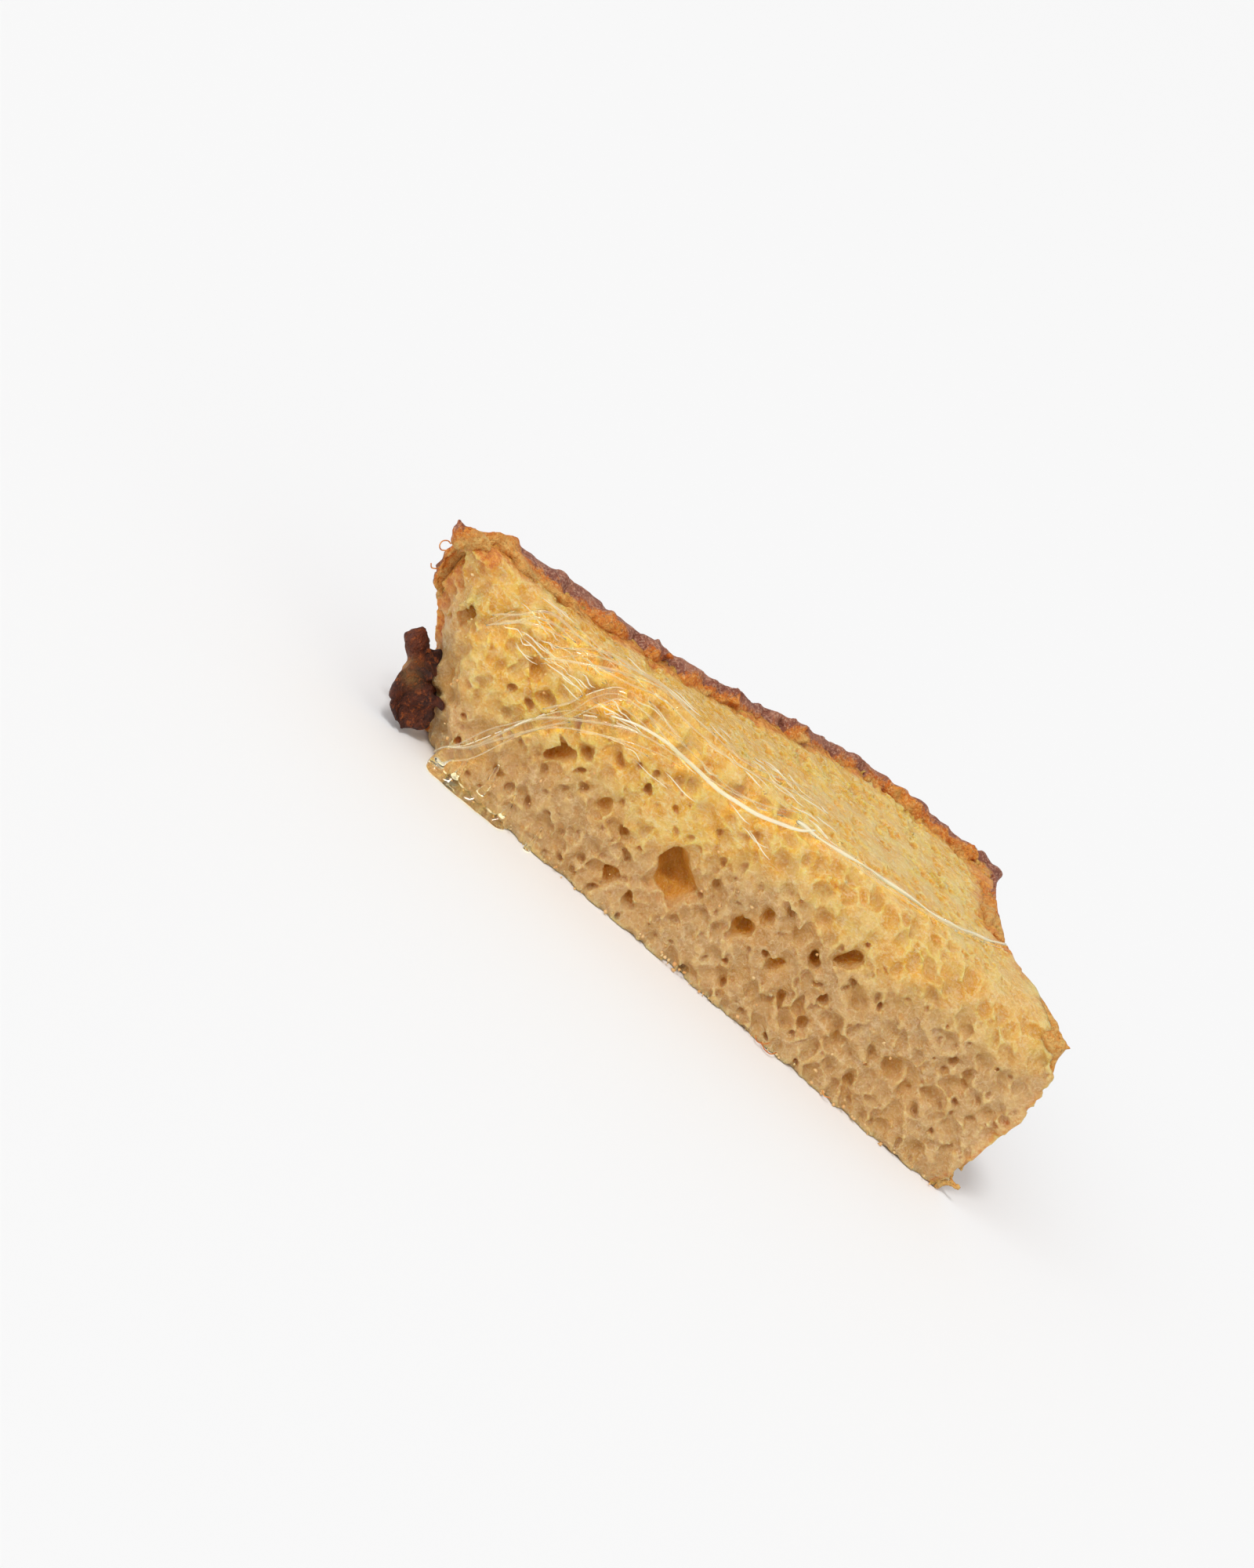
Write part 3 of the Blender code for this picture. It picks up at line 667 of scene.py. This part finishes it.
print("running the honey")
flows, threads = [], []
for halfWidth, height, points in honey["flows"]:
    route, out = ontoBread(smoothRoute(points, 5))
    steps = np.linspace(0.0, 1.0, len(route))
    radii = halfWidth * (0.5 + 0.5 * np.sin(np.pi * (0.1 + 0.8 * steps)))
    radii = radii * (1.0 + 0.15 * np.sin(9.0 * steps + 7.0 * halfWidth))
    flows.append((route + out * (height - radii)[:, None], radii))
    threads += strandRuns(route, out, halfWidth, height)
wet = capsuleField(flows, 4.0)
for x, y, z, halfLength, halfWidth in honey["drops"]:
    spots, out = ontoBread([(x - halfLength, y, z), (x, y, z), (x + halfLength, y + 0.2, z)])
    radii = halfWidth * np.array([0.45, 1.0, 0.5])
    blob = capsuleField([(spots + out * (0.45 - radii)[:, None], radii)], 1.5)
    wet = smoothMin(wet, blob, 0.3)
for x, halfWidth, start in honey["drips"]:
    route = smoothRoute([(x - 0.1 * start, -19.9, start), (x, -20.2, start * 0.6),
                         (x, -20.5, start * 0.3), (x, -20.8, halfWidth * 0.7)], 3)
    radii = halfWidth * np.linspace(0.4, 0.9, len(route))
    wet = smoothMin(wet, capsuleField([(route, radii)], 2.0), 0.9)
pool = honey["pool"]
puddle = (np.sqrt(((room.x - pool["x"]) / pool["halfLength"]) ** 2
                  + ((room.y - cutY) / pool["reach"]) ** 2
                  + (room.z / pool["height"]) ** 2) - 1.0) * pool["height"]
wet = smoothMin(wet, puddle + 0.15 * broad, 1.2)

soaking = {
    # height above which the cut face is soaked yellow, along x
    "line": ([-54, -46, -40, -30, -20, -9, 0, 10, 20, 29, 38, 46, 54],
             [24, 18, 13, 12, 15, 12, 16.5, 18, 18, 16, 20, 23, 26]),
    # deeper yellow: x, y, z, reach
    "spots": [(-8, -20, 19, 4.5), (13.8, -20, 24.5, 3.0), (29.5, -20, 23.0, 4.5),
              (-34, -20, 24, 6.0), (-24, -20, 22, 4.0), (-5, -20, 17, 3.0), (19, -5, 28, 6.0),
              (-20, -14, 28, 5.0), (4, -4, 28, 6.0)],
    # toasted patches: x, y, z, reach
    "toasted": [(-54.5, -19.5, 28.0, 4.0), (-52.0, -17.5, 22.0, 2.6), (54.4, -19.5, 0.5, 1.6),
                (54.2, -18.5, 26.0, 2.0), (39.0, 17.0, 28.0, 9.0), (41.0, 4.0, 28.0, 4.5),
                (46.0, -8.0, 28.0, 3.6), (50.0, -13.0, 28.0, 3.4), (-35.5, -20.0, 0.8, 1.6),
                (-49.0, -18.0, 28.0, 3.5), (54.6, -19.0, 9.0, 1.2), (53.6, -17.0, 18.0, 1.4)],
}


def nearSpots(places, spots):  # 1 at each spot, falling off over its reach
    found = np.zeros(len(places))
    for x, y, z, reach in spots:
        away = ((places - (x, y, z)) ** 2).sum(axis=1)
        found = np.maximum(found, np.exp(-away / reach ** 2))
    return found


def crumbGuides(places):
    x, y, z = places.T
    inward = -room.sample(outer, places)
    swell = 1.6 * room.sample(broad, places) + room.sample(mid, places)
    endPart = fade(42.0, 46.0, x + 1.2 * swell * fade(-14.0, -8.0, y))
    rimWidth = 1.05 * skinThickAt(x) * (1.0 + flangeAt(x, z))
    reach = 1.6 + 2.4 * fade(-15.0, -45.0, x) + 1.2 * fade(20.0, 38.0, x) - 2.0 * endPart
    toast = (0.95 - 0.35 * endPart) * np.exp(-np.maximum(inward - rimWidth, 0.0) / reach)
    toast = np.maximum(toast, 0.45 * fade(0.3, 0.0, z))
    toast = np.maximum(toast, nearSpots(places, soaking["toasted"]))
    soak = fade(-5.0, 5.0, z - np.interp(x, *soaking["line"]) + swell)
    soak = soak * np.interp(x, (-10.0, 30.0), (0.85, 0.6)) + 0.15 * fade(27.0, 28.3, z)
    soak = np.maximum(soak, nearSpots(places, soaking["spots"])) * fade(0.5, 2.0, z)
    wetness = fade(2.4, 0.2, room.sample(wet, places) + 0.3 * swell)
    return {"depth": np.clip(-room.sample(wholeCrumb, places), 0.0, 6.0), "toast": toast,
            "soak": soak, "wetness": np.maximum(wetness, 0.85 * soak),
            "tearing": fade(-1.5, 0.2, room.sample(torn, places))}


crumbPiece = skin("open_crumb", crumbField, crumbGuides, **crumb["skin"])

crust = {
    "rimHeight": 0.9, "rimCrown": 0.8,  # how far it stands over the top, more in mid run
    "wrinkle": 0.75, "wrinkleDepth": 0.6,  # never so deep that the crumb shows
    # the torn flap's lobes: middle, half width, half height, how hollow
    "lobes": [(-46.8, -13.4, 10.8, 1.9, 2.8, -0.1), (-43.6, -15.2, 4.2, 2.6, 4.9, 0.34),
              (-45.3, -14.5, 6.8, 1.9, 1.3, 0.0), (-43.0, -12.8, 7.8, 2.9, 4.4, -0.1)],
    "lobeHalf": 0.6, "lobeTurn": math.radians(23), "lobeLean": math.radians(14),
    "flapBit": (-45.8, -15.0, 6.7, 1.3),  # an orange bit between the lobes
    "flapMiddle": (-45.5, -14.5, 6.5), "flapReach": 9.0,
    # toasted points: root, tip, root radius
    "points": [((-52.8, -18.9, 26.2), (-54.7, -19.5, 28.7), 1.5),
               ((-51.6, -18.0, 23.8), (-54.3, -19.6, 24.3), 1.0),
               ((-50.0, -17.2, 19.6), (-52.4, -18.6, 19.9), 0.9),
               ((-22.4, -7.0, 28.6), (-22.9, -6.4, 29.5), 1.2),
               ((38.0, 17.6, 26.4), (40.0, 19.2, 28.2), 2.2),
               ((51.9, -17.6, 26.4), (53.7, -18.7, 27.7), 1.4),
               ((45.6, -9.6, 27.4), (52.8, -17.8, 27.9), 0.9),
               ((53.0, -17.8, 1.6), (54.5, -18.8, 1.0), 1.2)],
    "skin": {"merge": 0.25, "smoothing": 0.25, "rounds": 1, "share": 0.01},
}


def flapDistance(x, y, z):  # the dark flap of crust that hangs at the torn tip
    found = 9.0
    for placeX, placeY, placeZ, halfWidth, halfHeight, hollow in crust["lobes"]:
        flatX, flatY = turned(x - placeX, y - placeY, crust["lobeTurn"])
        through, up = turned(flatY, z - placeZ, -crust["lobeLean"])
        across, along = turned(flatX, up, crumb["slant"])
        ring = (across / halfWidth) ** 2 + (along / halfHeight) ** 2
        lobe = (np.sqrt(ring) - 1.0) * halfWidth * 0.9
        curled = np.abs(through + hollow * halfWidth * np.minimum(ring, 2.0)) - crust["lobeHalf"]
        found = smoothMin(found, smoothMax(lobe, curled, 0.5), 0.4)
    return found


print("growing the crust")
upright = room.noise((1.5, 1.5, 3.4), 21)
crown = crust["rimCrown"] * np.exp(-((room.x + 3.0) / 24.0) ** 2)
half = 0.5 * skinThickAt(room.x) * (1.0 + flangeAt(room.x, room.z) + 0.15 * broad + 0.15 * mid
                                    + (0.2 * mid + 0.25 * fine) * fade(top - 6.0, top - 2.0, room.z))
wrinkles = crust["wrinkle"] * (0.5 * mid + 0.5 * upright + 0.4 * fine + 0.2 * grain)
wrinkled = outer + smoothMin(wrinkles, crust["wrinkleDepth"], 0.4)
shell = np.abs(wrinkled + half) - half
inner = np.clip(-wrinkled / (2.0 * half), 0.0, 1.4)
rimTop = top + crust["rimHeight"] * fade(44.0, 37.0, room.x) + crown - 0.35 \
    - (0.6 + 0.9 * crown) * fade(0.3, 1.1, inner) + 0.3 * mid + 0.35 * fine + 0.2 * grain
shell = within(shell, (room.z - rimTop, 1.5), (0.05 - room.z, 0.4),
               (torn + 0.35 * fine + 2.6 * fade(18.0, 13.0, room.z), 0.4),
               (cut + 0.15 + 0.9 * endward + 0.45 * fine + 0.35 * mid, 0.4))
near = room.block(crust["flapMiddle"], crust["flapReach"])
flap = np.full(room.shape, 9.0, dtype=np.float32)
flap[near] = flapDistance(*room.local(near)) + 0.4 * mid[near] + 0.4 * fine[near] \
    + 0.15 * grain[near]
flap = smoothMax(flap, 0.4 - room.z, 0.3)
shell = smoothMin(shell, flap, 0.5)
for root, point, radius in crust["points"]:
    root, point = np.array(root), np.array(point)
    near = room.block((root + point) / 2, 5.0)
    t, away = alongSpan(room.local(near), root, point)
    horn = away - radius * (1.0 - 0.7 * t) + 0.25 * fine[near] + 0.25 * mid[near]
    shell[near] = smoothMin(shell[near], horn, 0.7)


def crustGuides(places):
    x, y, z = places.T
    flapAmount = fade(1.2, 0.2, room.sample(flap, places))
    patchy = 2.2 * room.sample(broad, places) + 1.2 * room.sample(mid, places)
    bent = x + patchy * fade(-16.0, -8.0, y)  # so the browning of the short side ends raggedly
    tipward = fade(-44.0, -48.5, x) * fade(11.0, 16.0, z) + fade(38.0, 42.0, bent) \
        + fade(42.0, 52.0, bent)
    width = skinThickAt(x) * (1.0 + flangeAt(x, z))
    return {"inward": np.clip(-room.sample(outer, places) / width, 0.0, 1.5),
            "flap": flapAmount * (1.0 - nearSpots(places, [crust["flapBit"]])),
            "tipward": tipward,
            "rim": fade(23.5, 27.0, z)}


crustPiece = skin("browned_crust", shell, crustGuides, **crust["skin"])
wet = within(wet, (0.03 - room.z, 0.12), (-(wholeCrumb + honey["sunk"]), 0.1))
honeyPiece = skin("run_honey", wet, lambda places: {"thick": -room.sample(wet, places)},
                  **honey["skin"])
strandPiece = strands("honey_strands", threads)
route, out = ontoBread(smoothRoute(honey["thread"], 6))
thread = [(route + out * 0.38, honey["threadSize"] * taper(len(route), 0.04, 0.92, 0.5))]
route, out = ontoBread(smoothRoute(honey["flows"][-1][2], 6))  # its run over the last flow
wave = 0.12 * np.sin(np.linspace(0, 40, len(route)))
thread.append((route + out * 0.38 + np.array([0.0, 1.0, 0.0]) * wave[:, None],
               0.2 + 0.08 * np.sin(np.linspace(0, 31, len(route)))))
threadPiece = strands("honey_thread", thread + wispRuns())

loose = {"footCrumbs": 90, "tipCrumbs": 16, "faceCrumbs": 60, "sizes": (0.1, 0.34),
         "lumpiness": 0.13,
         "fibres": [[(21.4, -20.2, 0.7), (21.9, -20.9, 0.5), (22.8, -21.1, 0.9),
                     (23.3, -20.9, 1.5)],
                    [(22.6, -20.2, 0.5), (23.4, -21.2, 0.4), (24.4, -21.3, 0.5),
                     (25.0, -20.8, 1.0)],
                    [(33.4, -20.1, 0.8), (34.0, -20.7, 0.6), (34.8, -20.8, 1.0)],
                    [(-53.0, -18.8, 24.6), (-53.9, -19.6, 24.2), (-54.5, -19.9, 24.6),
                     (-54.6, -19.9, 25.3), (-54.1, -19.6, 25.7), (-53.5, -19.1, 25.5)],
                    [(-52.4, -18.0, 21.4), (-53.2, -18.8, 21.2), (-53.7, -19.1, 21.7)]],
         "fibreSize": 0.09}


def looseCrumbs():  # bits that cling along the foot, the tip and the cut face
    count = loose["tipCrumbs"]
    foot = spread(loose["footCrumbs"], (-36, 54), (cutY, cutY), (0.1, 1.2))
    tip = np.stack([np.linspace(-50, -36, count), np.full(count, -19.0),
                    np.linspace(27, 1, count)], axis=1)
    face = spread(loose["faceCrumbs"], (-36, 52), (cutY, cutY), (1.0, 24.0))
    spots, out = ontoBread(np.vstack([foot, tip + random.normal(0, 1.2, (count, 3)), face]))
    bm = bmesh.new()
    for spot, away in zip(spots, out):
        low, high = loose["sizes"]
        size = low + (high - low) * random.random() ** 2
        grown = bmesh.ops.create_icosphere(bm, subdivisions=1, radius=size * mm)["verts"]
        bmesh.ops.scale(bm, verts=grown, vec=random.uniform(0.6, 1.2, 3))
        for vert in grown:
            vert.co += Vector(random.normal(0.0, loose["lumpiness"] * size, 3)) * mm
        place = spot + away * size * 0.45
        place[2] = max(place[2], size * 0.9)
        bmesh.ops.translate(bm, verts=grown, vec=place * mm)
    return asPiece("loose_crumbs", bm)


print("scattering crumbs and fibres")
crumbsPiece = looseCrumbs()
fibrePiece = strands("toasted_fibres", [
    (smoothRoute(points, 5), np.full(5 * len(points) - 4, loose["fibreSize"]))
    for points in loose["fibres"]])


crumbTones = {
    "dry": (212, 171, 112), "dryClouds": (202, 158, 95), "torn": (198, 153, 98),
    # the pore tones are darker: painted shade in the pores and pits
    # the weave tones are lighter: painted light on the raised weave
    "paintedLightOnDryWeave": (226, 192, 138), "paintedShadeInDryPores": (204, 142, 60), "threads": (240, 214, 170),
    "amber": (244, 208, 104), "amberPatches": (236, 172, 40), "amberDeep": (234, 170, 28),
    "paintedShadeInAmberPores": (220, 156, 28), "paintedLightOnAmberWeave": (250, 220, 146), "streaks": (252, 236, 196),
    # by depth under the surface, painted light and shade: paler on the pores' rims, darker and more
    # amber down their sides and in the big holes
    "paintedLightOnRims": (240, 206, 138), "sides": (222, 166, 88), "holes": (226, 152, 24),
    # pale specks on the raised grit and darker between: painted glints and painted shade
    "paintedGlintsOnGrains": (252, 232, 182), "paintedShadeBetweenGrains": (196, 126, 50),
    "toasted": (244, 166, 66), "toastedSpecks": (206, 112, 26),
}


def crumbFinish():
    look = Finish("crumb_soaked", crumbTones, Subsurface_Weight=0.9,
                  Subsurface_Radius=(1.0, 0.72, 0.4), Subsurface_Scale=0.0022,
                  Specular_IOR_Level=0.7)
    soakAmount, deep, toasted = look.value("soak"), look.value("depth"), look.value("toast")
    tearing, wetness = look.value("tearing"), look.value("wetness")
    speck = look.speckle(1500.0, 4.0, 0.7)
    weave = look.speckle(800.0, 4.0, 0.6)
    patch = look.speckle(260.0, 4.0)
    cloud = look.speckle(80.0, 2.0)
    grit = look.speckle(2900.0, 3.0, 0.7)
    pores, pits = look.pores(760.0, 0.0006, 0.56), look.pores(1500.0, 0.0004, 0.58)
    threads, streaks = look.wisps(620.0, 0.035), look.wisps(900.0, 0.03, (0.35, 1.0, 1.0))
    dry = look.blend(look.step(0.35, 0.65, cloud), "dry", "dryClouds")
    dry = look.coated(dry, (tearing * 0.5, "torn"),
                      # lighter where the weave stands up: painted light
                      (look.step(0.48, 0.68, weave) * 0.6, "paintedLightOnDryWeave"),
                      # darker amber in the pores and pits: painted shade
                      (pores * 0.4, "paintedShadeInDryPores"), (pits * 0.3, "paintedShadeInDryPores"),
                      (threads * 0.4, "threads"))
    amber = look.blend(look.step(0.35, 0.62, patch), "amber", "amberPatches")
    amber = look.coated(amber, (look.step(0.75, 1.0, soakAmount) * 0.6, "amberDeep"),
                        # darker amber in the pores: painted shade
                        (pores * 0.6, "paintedShadeInAmberPores"),
                        # lighter where the weave stands up: painted light
                        (look.step(0.46, 0.66, weave) * 0.5, "paintedLightOnAmberWeave"),
                        (streaks * 0.45, "streaks"))
    soaked = (1.25 * soakAmount + 0.5 * (patch - 0.5)).clamped()
    brown = look.blend(look.step(0.35, 0.65, speck), "toasted", "toastedSpecks")
    edge = toasted + 0.8 * (patch - 0.5) + 0.6 * (speck - 0.5)
    tone = look.coated(look.blend(soaked, dry, amber),
                       # paler at the surface, darker and more amber with depth: painted light on the
                       # rims, painted shade and glow in the pores and holes
                       (look.step(0.2, 0.0, deep) * 0.35, "paintedLightOnRims"),
                       (look.step(0.3, 1.2, deep) * 0.5, "sides"),
                       (look.step(1.1, 2.4, deep) * 0.9, "holes"),
                       # pale specks on the raised grit, more where soaked: painted glints; darker
                       # between the grit: painted shade
                       (look.step(0.5, 0.66, grit) * (0.22 + 0.2 * soaked), "paintedGlintsOnGrains"),
                       (look.step(0.5, 0.36, grit) * 0.12, "paintedShadeBetweenGrains"),
                       (look.step(0.38, 0.85, edge) * 0.92, brown))
    height = 0.35 * speck + 0.5 * weave - 0.7 * pores - 0.4 * pits + 0.15 * streaks
    look.feed(Base_Color=tone, Roughness=0.62 - 0.45 * wetness + 0.1 * (patch - 0.5),
              Normal=look.bump(grit, 0.9, 0.0004, look.bump(height, 0.6, 0.0005)))
    return look.material


crustTones = {
    # the rim flecks are pale: painted glints
    "rim": (150, 86, 64), "rimBlotches": (188, 124, 94), "paintedGlintsOnRim": (222, 170, 142),
    "side": (104, 50, 28), "sideBlotches": (168, 92, 44), "sideClouds": (204, 128, 64),
    "darkSpecks": (98, 44, 26), "warm": (246, 160, 58), "warmSpecks": (216, 108, 24),
    "warmBlotches": (160, 78, 34), "warmFlecks": (252, 204, 132),
    "pale": (240, 194, 112), "paleSpecks": (228, 156, 66),
    "flap": (54, 17, 4), "flapBlotches": (104, 44, 14), "flapSpecks": (184, 94, 34),
}


def crustFinish():
    look = Finish("crust_browned", crustTones, Specular_IOR_Level=0.45,
                  Subsurface_Weight=0.1, Subsurface_Scale=0.001)
    inside, flapAmount, tipward = look.value("inward"), look.value("flap"), look.value("tipward")
    rim = look.value("rim")
    blotch = look.speckle(300.0, 5.0, 0.7, (1.0, 1.0, 0.45))
    speck = look.speckle(1300.0, 4.0, 0.75)
    flecks = look.speckle(2400.0, 2.0, 0.6)
    cloud = look.speckle(110.0, 3.0)
    blotched = look.step(0.4, 0.62, blotch)
    rimDark = look.blend(blotched, "rim", "rimBlotches")
    side = look.blend(blotched, "side", "sideBlotches")
    side = look.blend(look.step(0.45, 0.62, cloud) * 0.6, side, "sideClouds")
    dark = look.coated(look.blend(rim, side, rimDark),
                       (look.step(0.5, 0.68, speck) * 0.5, "darkSpecks"),
                       # pale pinkish flecks on the raised grain, most on the rim: painted glints
                       (look.step(0.52, 0.6, flecks) * (0.15 + 0.45 * rim), "paintedGlintsOnRim"))
    warm = look.blend(look.step(0.38, 0.62, speck), "warm", "warmSpecks")
    warm = look.coated(warm, (look.step(0.52, 0.64, blotch) * 0.5, "warmBlotches"),
                       (look.step(0.54, 0.62, flecks) * 0.45, "warmFlecks"))
    pale = look.blend(look.step(0.4, 0.6, speck), "pale", "paleSpecks")
    burnt = look.blend(blotched, "flap", "flapBlotches")
    burnt = look.blend(look.step(0.52, 0.66, speck) * 0.6, burnt, "flapSpecks")
    far = inside + 1.7 * (blotch - 0.5) + 0.8 * (speck - 0.5) + 0.7 * tipward
    tone = look.coated(look.blend(look.step(0.58, 0.84, far), dark, warm),
                       (look.step(0.92, 1.25, far) * 0.85, pale), (flapAmount, burnt))
    look.feed(Base_Color=tone, Roughness=0.35 + 0.4 * speck,
              Normal=look.bump(flecks, 0.6, 0.0004, look.bump(0.7 * speck + blotch, 0.9, 0.0014)))
    return look.material


honeyTones = {  # colour where thin, colour where thick, how milky; the milk shows the fine strands and the fresh thread pale, a painted highlight
    "honey_clear": ((255, 250, 228), (252, 214, 128), 0.0),
    "honey_fine": ((255, 251, 232), (255, 243, 206), 0.12),
    "honey_fresh": ((255, 252, 234), (255, 244, 210), 0.5),
}


def honeyFinish(name):  # clear honey; the lamps shine through it
    pale, deep, paintedHighlightMilk = honeyTones[name]
    # the milky share is pale, opaque colour: painted highlight on the threads
    look = Finish(name, Transmission_Weight=1.0 - paintedHighlightMilk, Roughness=0.03, IOR=1.49)
    thick = look.step(0.3, 1.1, look.value("thick") + 0.5 * (look.speckle(220.0, 2.0) - 0.5))
    look.feed(Base_Color=look.blend(thick, pale, deep),
              Normal=look.bump(look.speckle(420.0, 2.0), 0.3, 0.0003))
    clear = look.add("ShaderNodeBsdfTransparent", values={"Color": colour(pale)})
    lamp = look.add("ShaderNodeLightPath", output="Is Shadow Ray")
    both = look.add("ShaderNodeMixShader",
                    values={0: lamp, 1: Socket(look, look.shader.outputs["BSDF"]), 2: clear})
    look.material.node_tree.links.new(both.out, look.nodes["Material Output"].inputs["Surface"])
    return look.material


def mottledFinish(name, scale, between, tones, **shaderValues):  # two colours, one noise
    look = Finish(name, **shaderValues)
    look.feed(Base_Color=look.blend(look.step(*between, look.speckle(scale, 3.0)), *tones))
    return look.material


print("mixing the finishes")
bits = mottledFinish("crumb_bits", 300.0, (0.3, 0.7), [(238, 202, 150), (214, 152, 84)],
                     Roughness=0.6, Subsurface_Weight=0.4, Subsurface_Radius=(1.0, 0.6, 0.3),
                     Subsurface_Scale=0.0008)
fibre = mottledFinish("fibre_toasted", 900.0, (0.35, 0.65), [(226, 150, 66), (176, 92, 26)],
                      Roughness=0.5, Subsurface_Weight=0.2, Subsurface_Scale=0.0005)
for piece, material, slot in ((crumbPiece, crumbFinish(), "crumb"),
                              (crustPiece, crustFinish(), "crust"),
                              (crumbsPiece, bits, "crumb"),
                              (fibrePiece, fibre, "crust"),
                              (honeyPiece, honeyFinish("honey_clear"), "honey"),
                              (strandPiece, honeyFinish("honey_fine"), "honey"),
                              (threadPiece, honeyFinish("honey_fresh"), "honey")):
    piece.data.materials.append(material)
    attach(piece, "root")
    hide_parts("toast")


studio = {"floorSize": 14.0, "floorTone": (246, 246, 246), "skyStrength": 0.6,
          # lamps: where from, strength, spread; the small one makes the glints
          "lamps": [("softbox", (-0.55, -0.5, 0.67), 0.75, math.radians(55)),
                    ("glint", (-0.3, -0.45, 0.84), 1.0, math.radians(12))]}
# the camera: where it looks from and how it is turned, set against the photo
photo = {"azimuth": 10.55, "elevation": 19.46, "roll": 43.76, "lens": 84.0, "sensor": 36.0,
         "eye": (-98.22, -466.22, 176.62)}


def floor():
    bm = bmesh.new()
    bmesh.ops.create_grid(bm, x_segments=1, y_segments=1, size=studio["floorSize"] / 2)
    piece = asPiece("studio_floor", bm)
    look = Finish("paper_white", Base_Color=colour(studio["floorTone"]), Roughness=0.9,
                  Specular_IOR_Level=0.1)
    piece.data.materials.append(look.material)


def lights():
    for name, source, strength, spreadAngle in studio["lamps"]:
        data = bpy.data.lights.new(name, "SUN")
        data.energy, data.angle = strength, spreadAngle
        lamp = bpy.data.objects.new(name, data)
        lamp.rotation_euler = Vector(source).to_track_quat("Z", "Y").to_euler()
        scene.collection.objects.link(lamp)
    world = bpy.data.worlds.new("studio")
    world.use_nodes = True
    sky = world.node_tree.nodes["Background"].inputs
    sky["Color"].default_value, sky["Strength"].default_value = (1, 1, 1, 1), studio["skyStrength"]
    scene.world = world


def camera():
    data = bpy.data.cameras.new("photo_view")
    data.lens, data.sensor_width, data.clip_end = photo["lens"], photo["sensor"], 30.0
    turn = (Matrix.Rotation(-math.radians(photo["azimuth"]), 4, "Z")
            @ Matrix.Rotation(math.pi / 2 - math.radians(photo["elevation"]), 4, "X")
            @ Matrix.Rotation(math.radians(photo["roll"]), 4, "Z"))
    view = bpy.data.objects.new("photo_view", data)
    view.matrix_world = Matrix.Translation(Vector(photo["eye"]) * mm) @ turn
    scene.collection.objects.link(view)
    scene.camera = view


print("setting up the studio")
floor()
lights()
camera()
scene.view_settings.view_transform = "Standard"
print("ready")
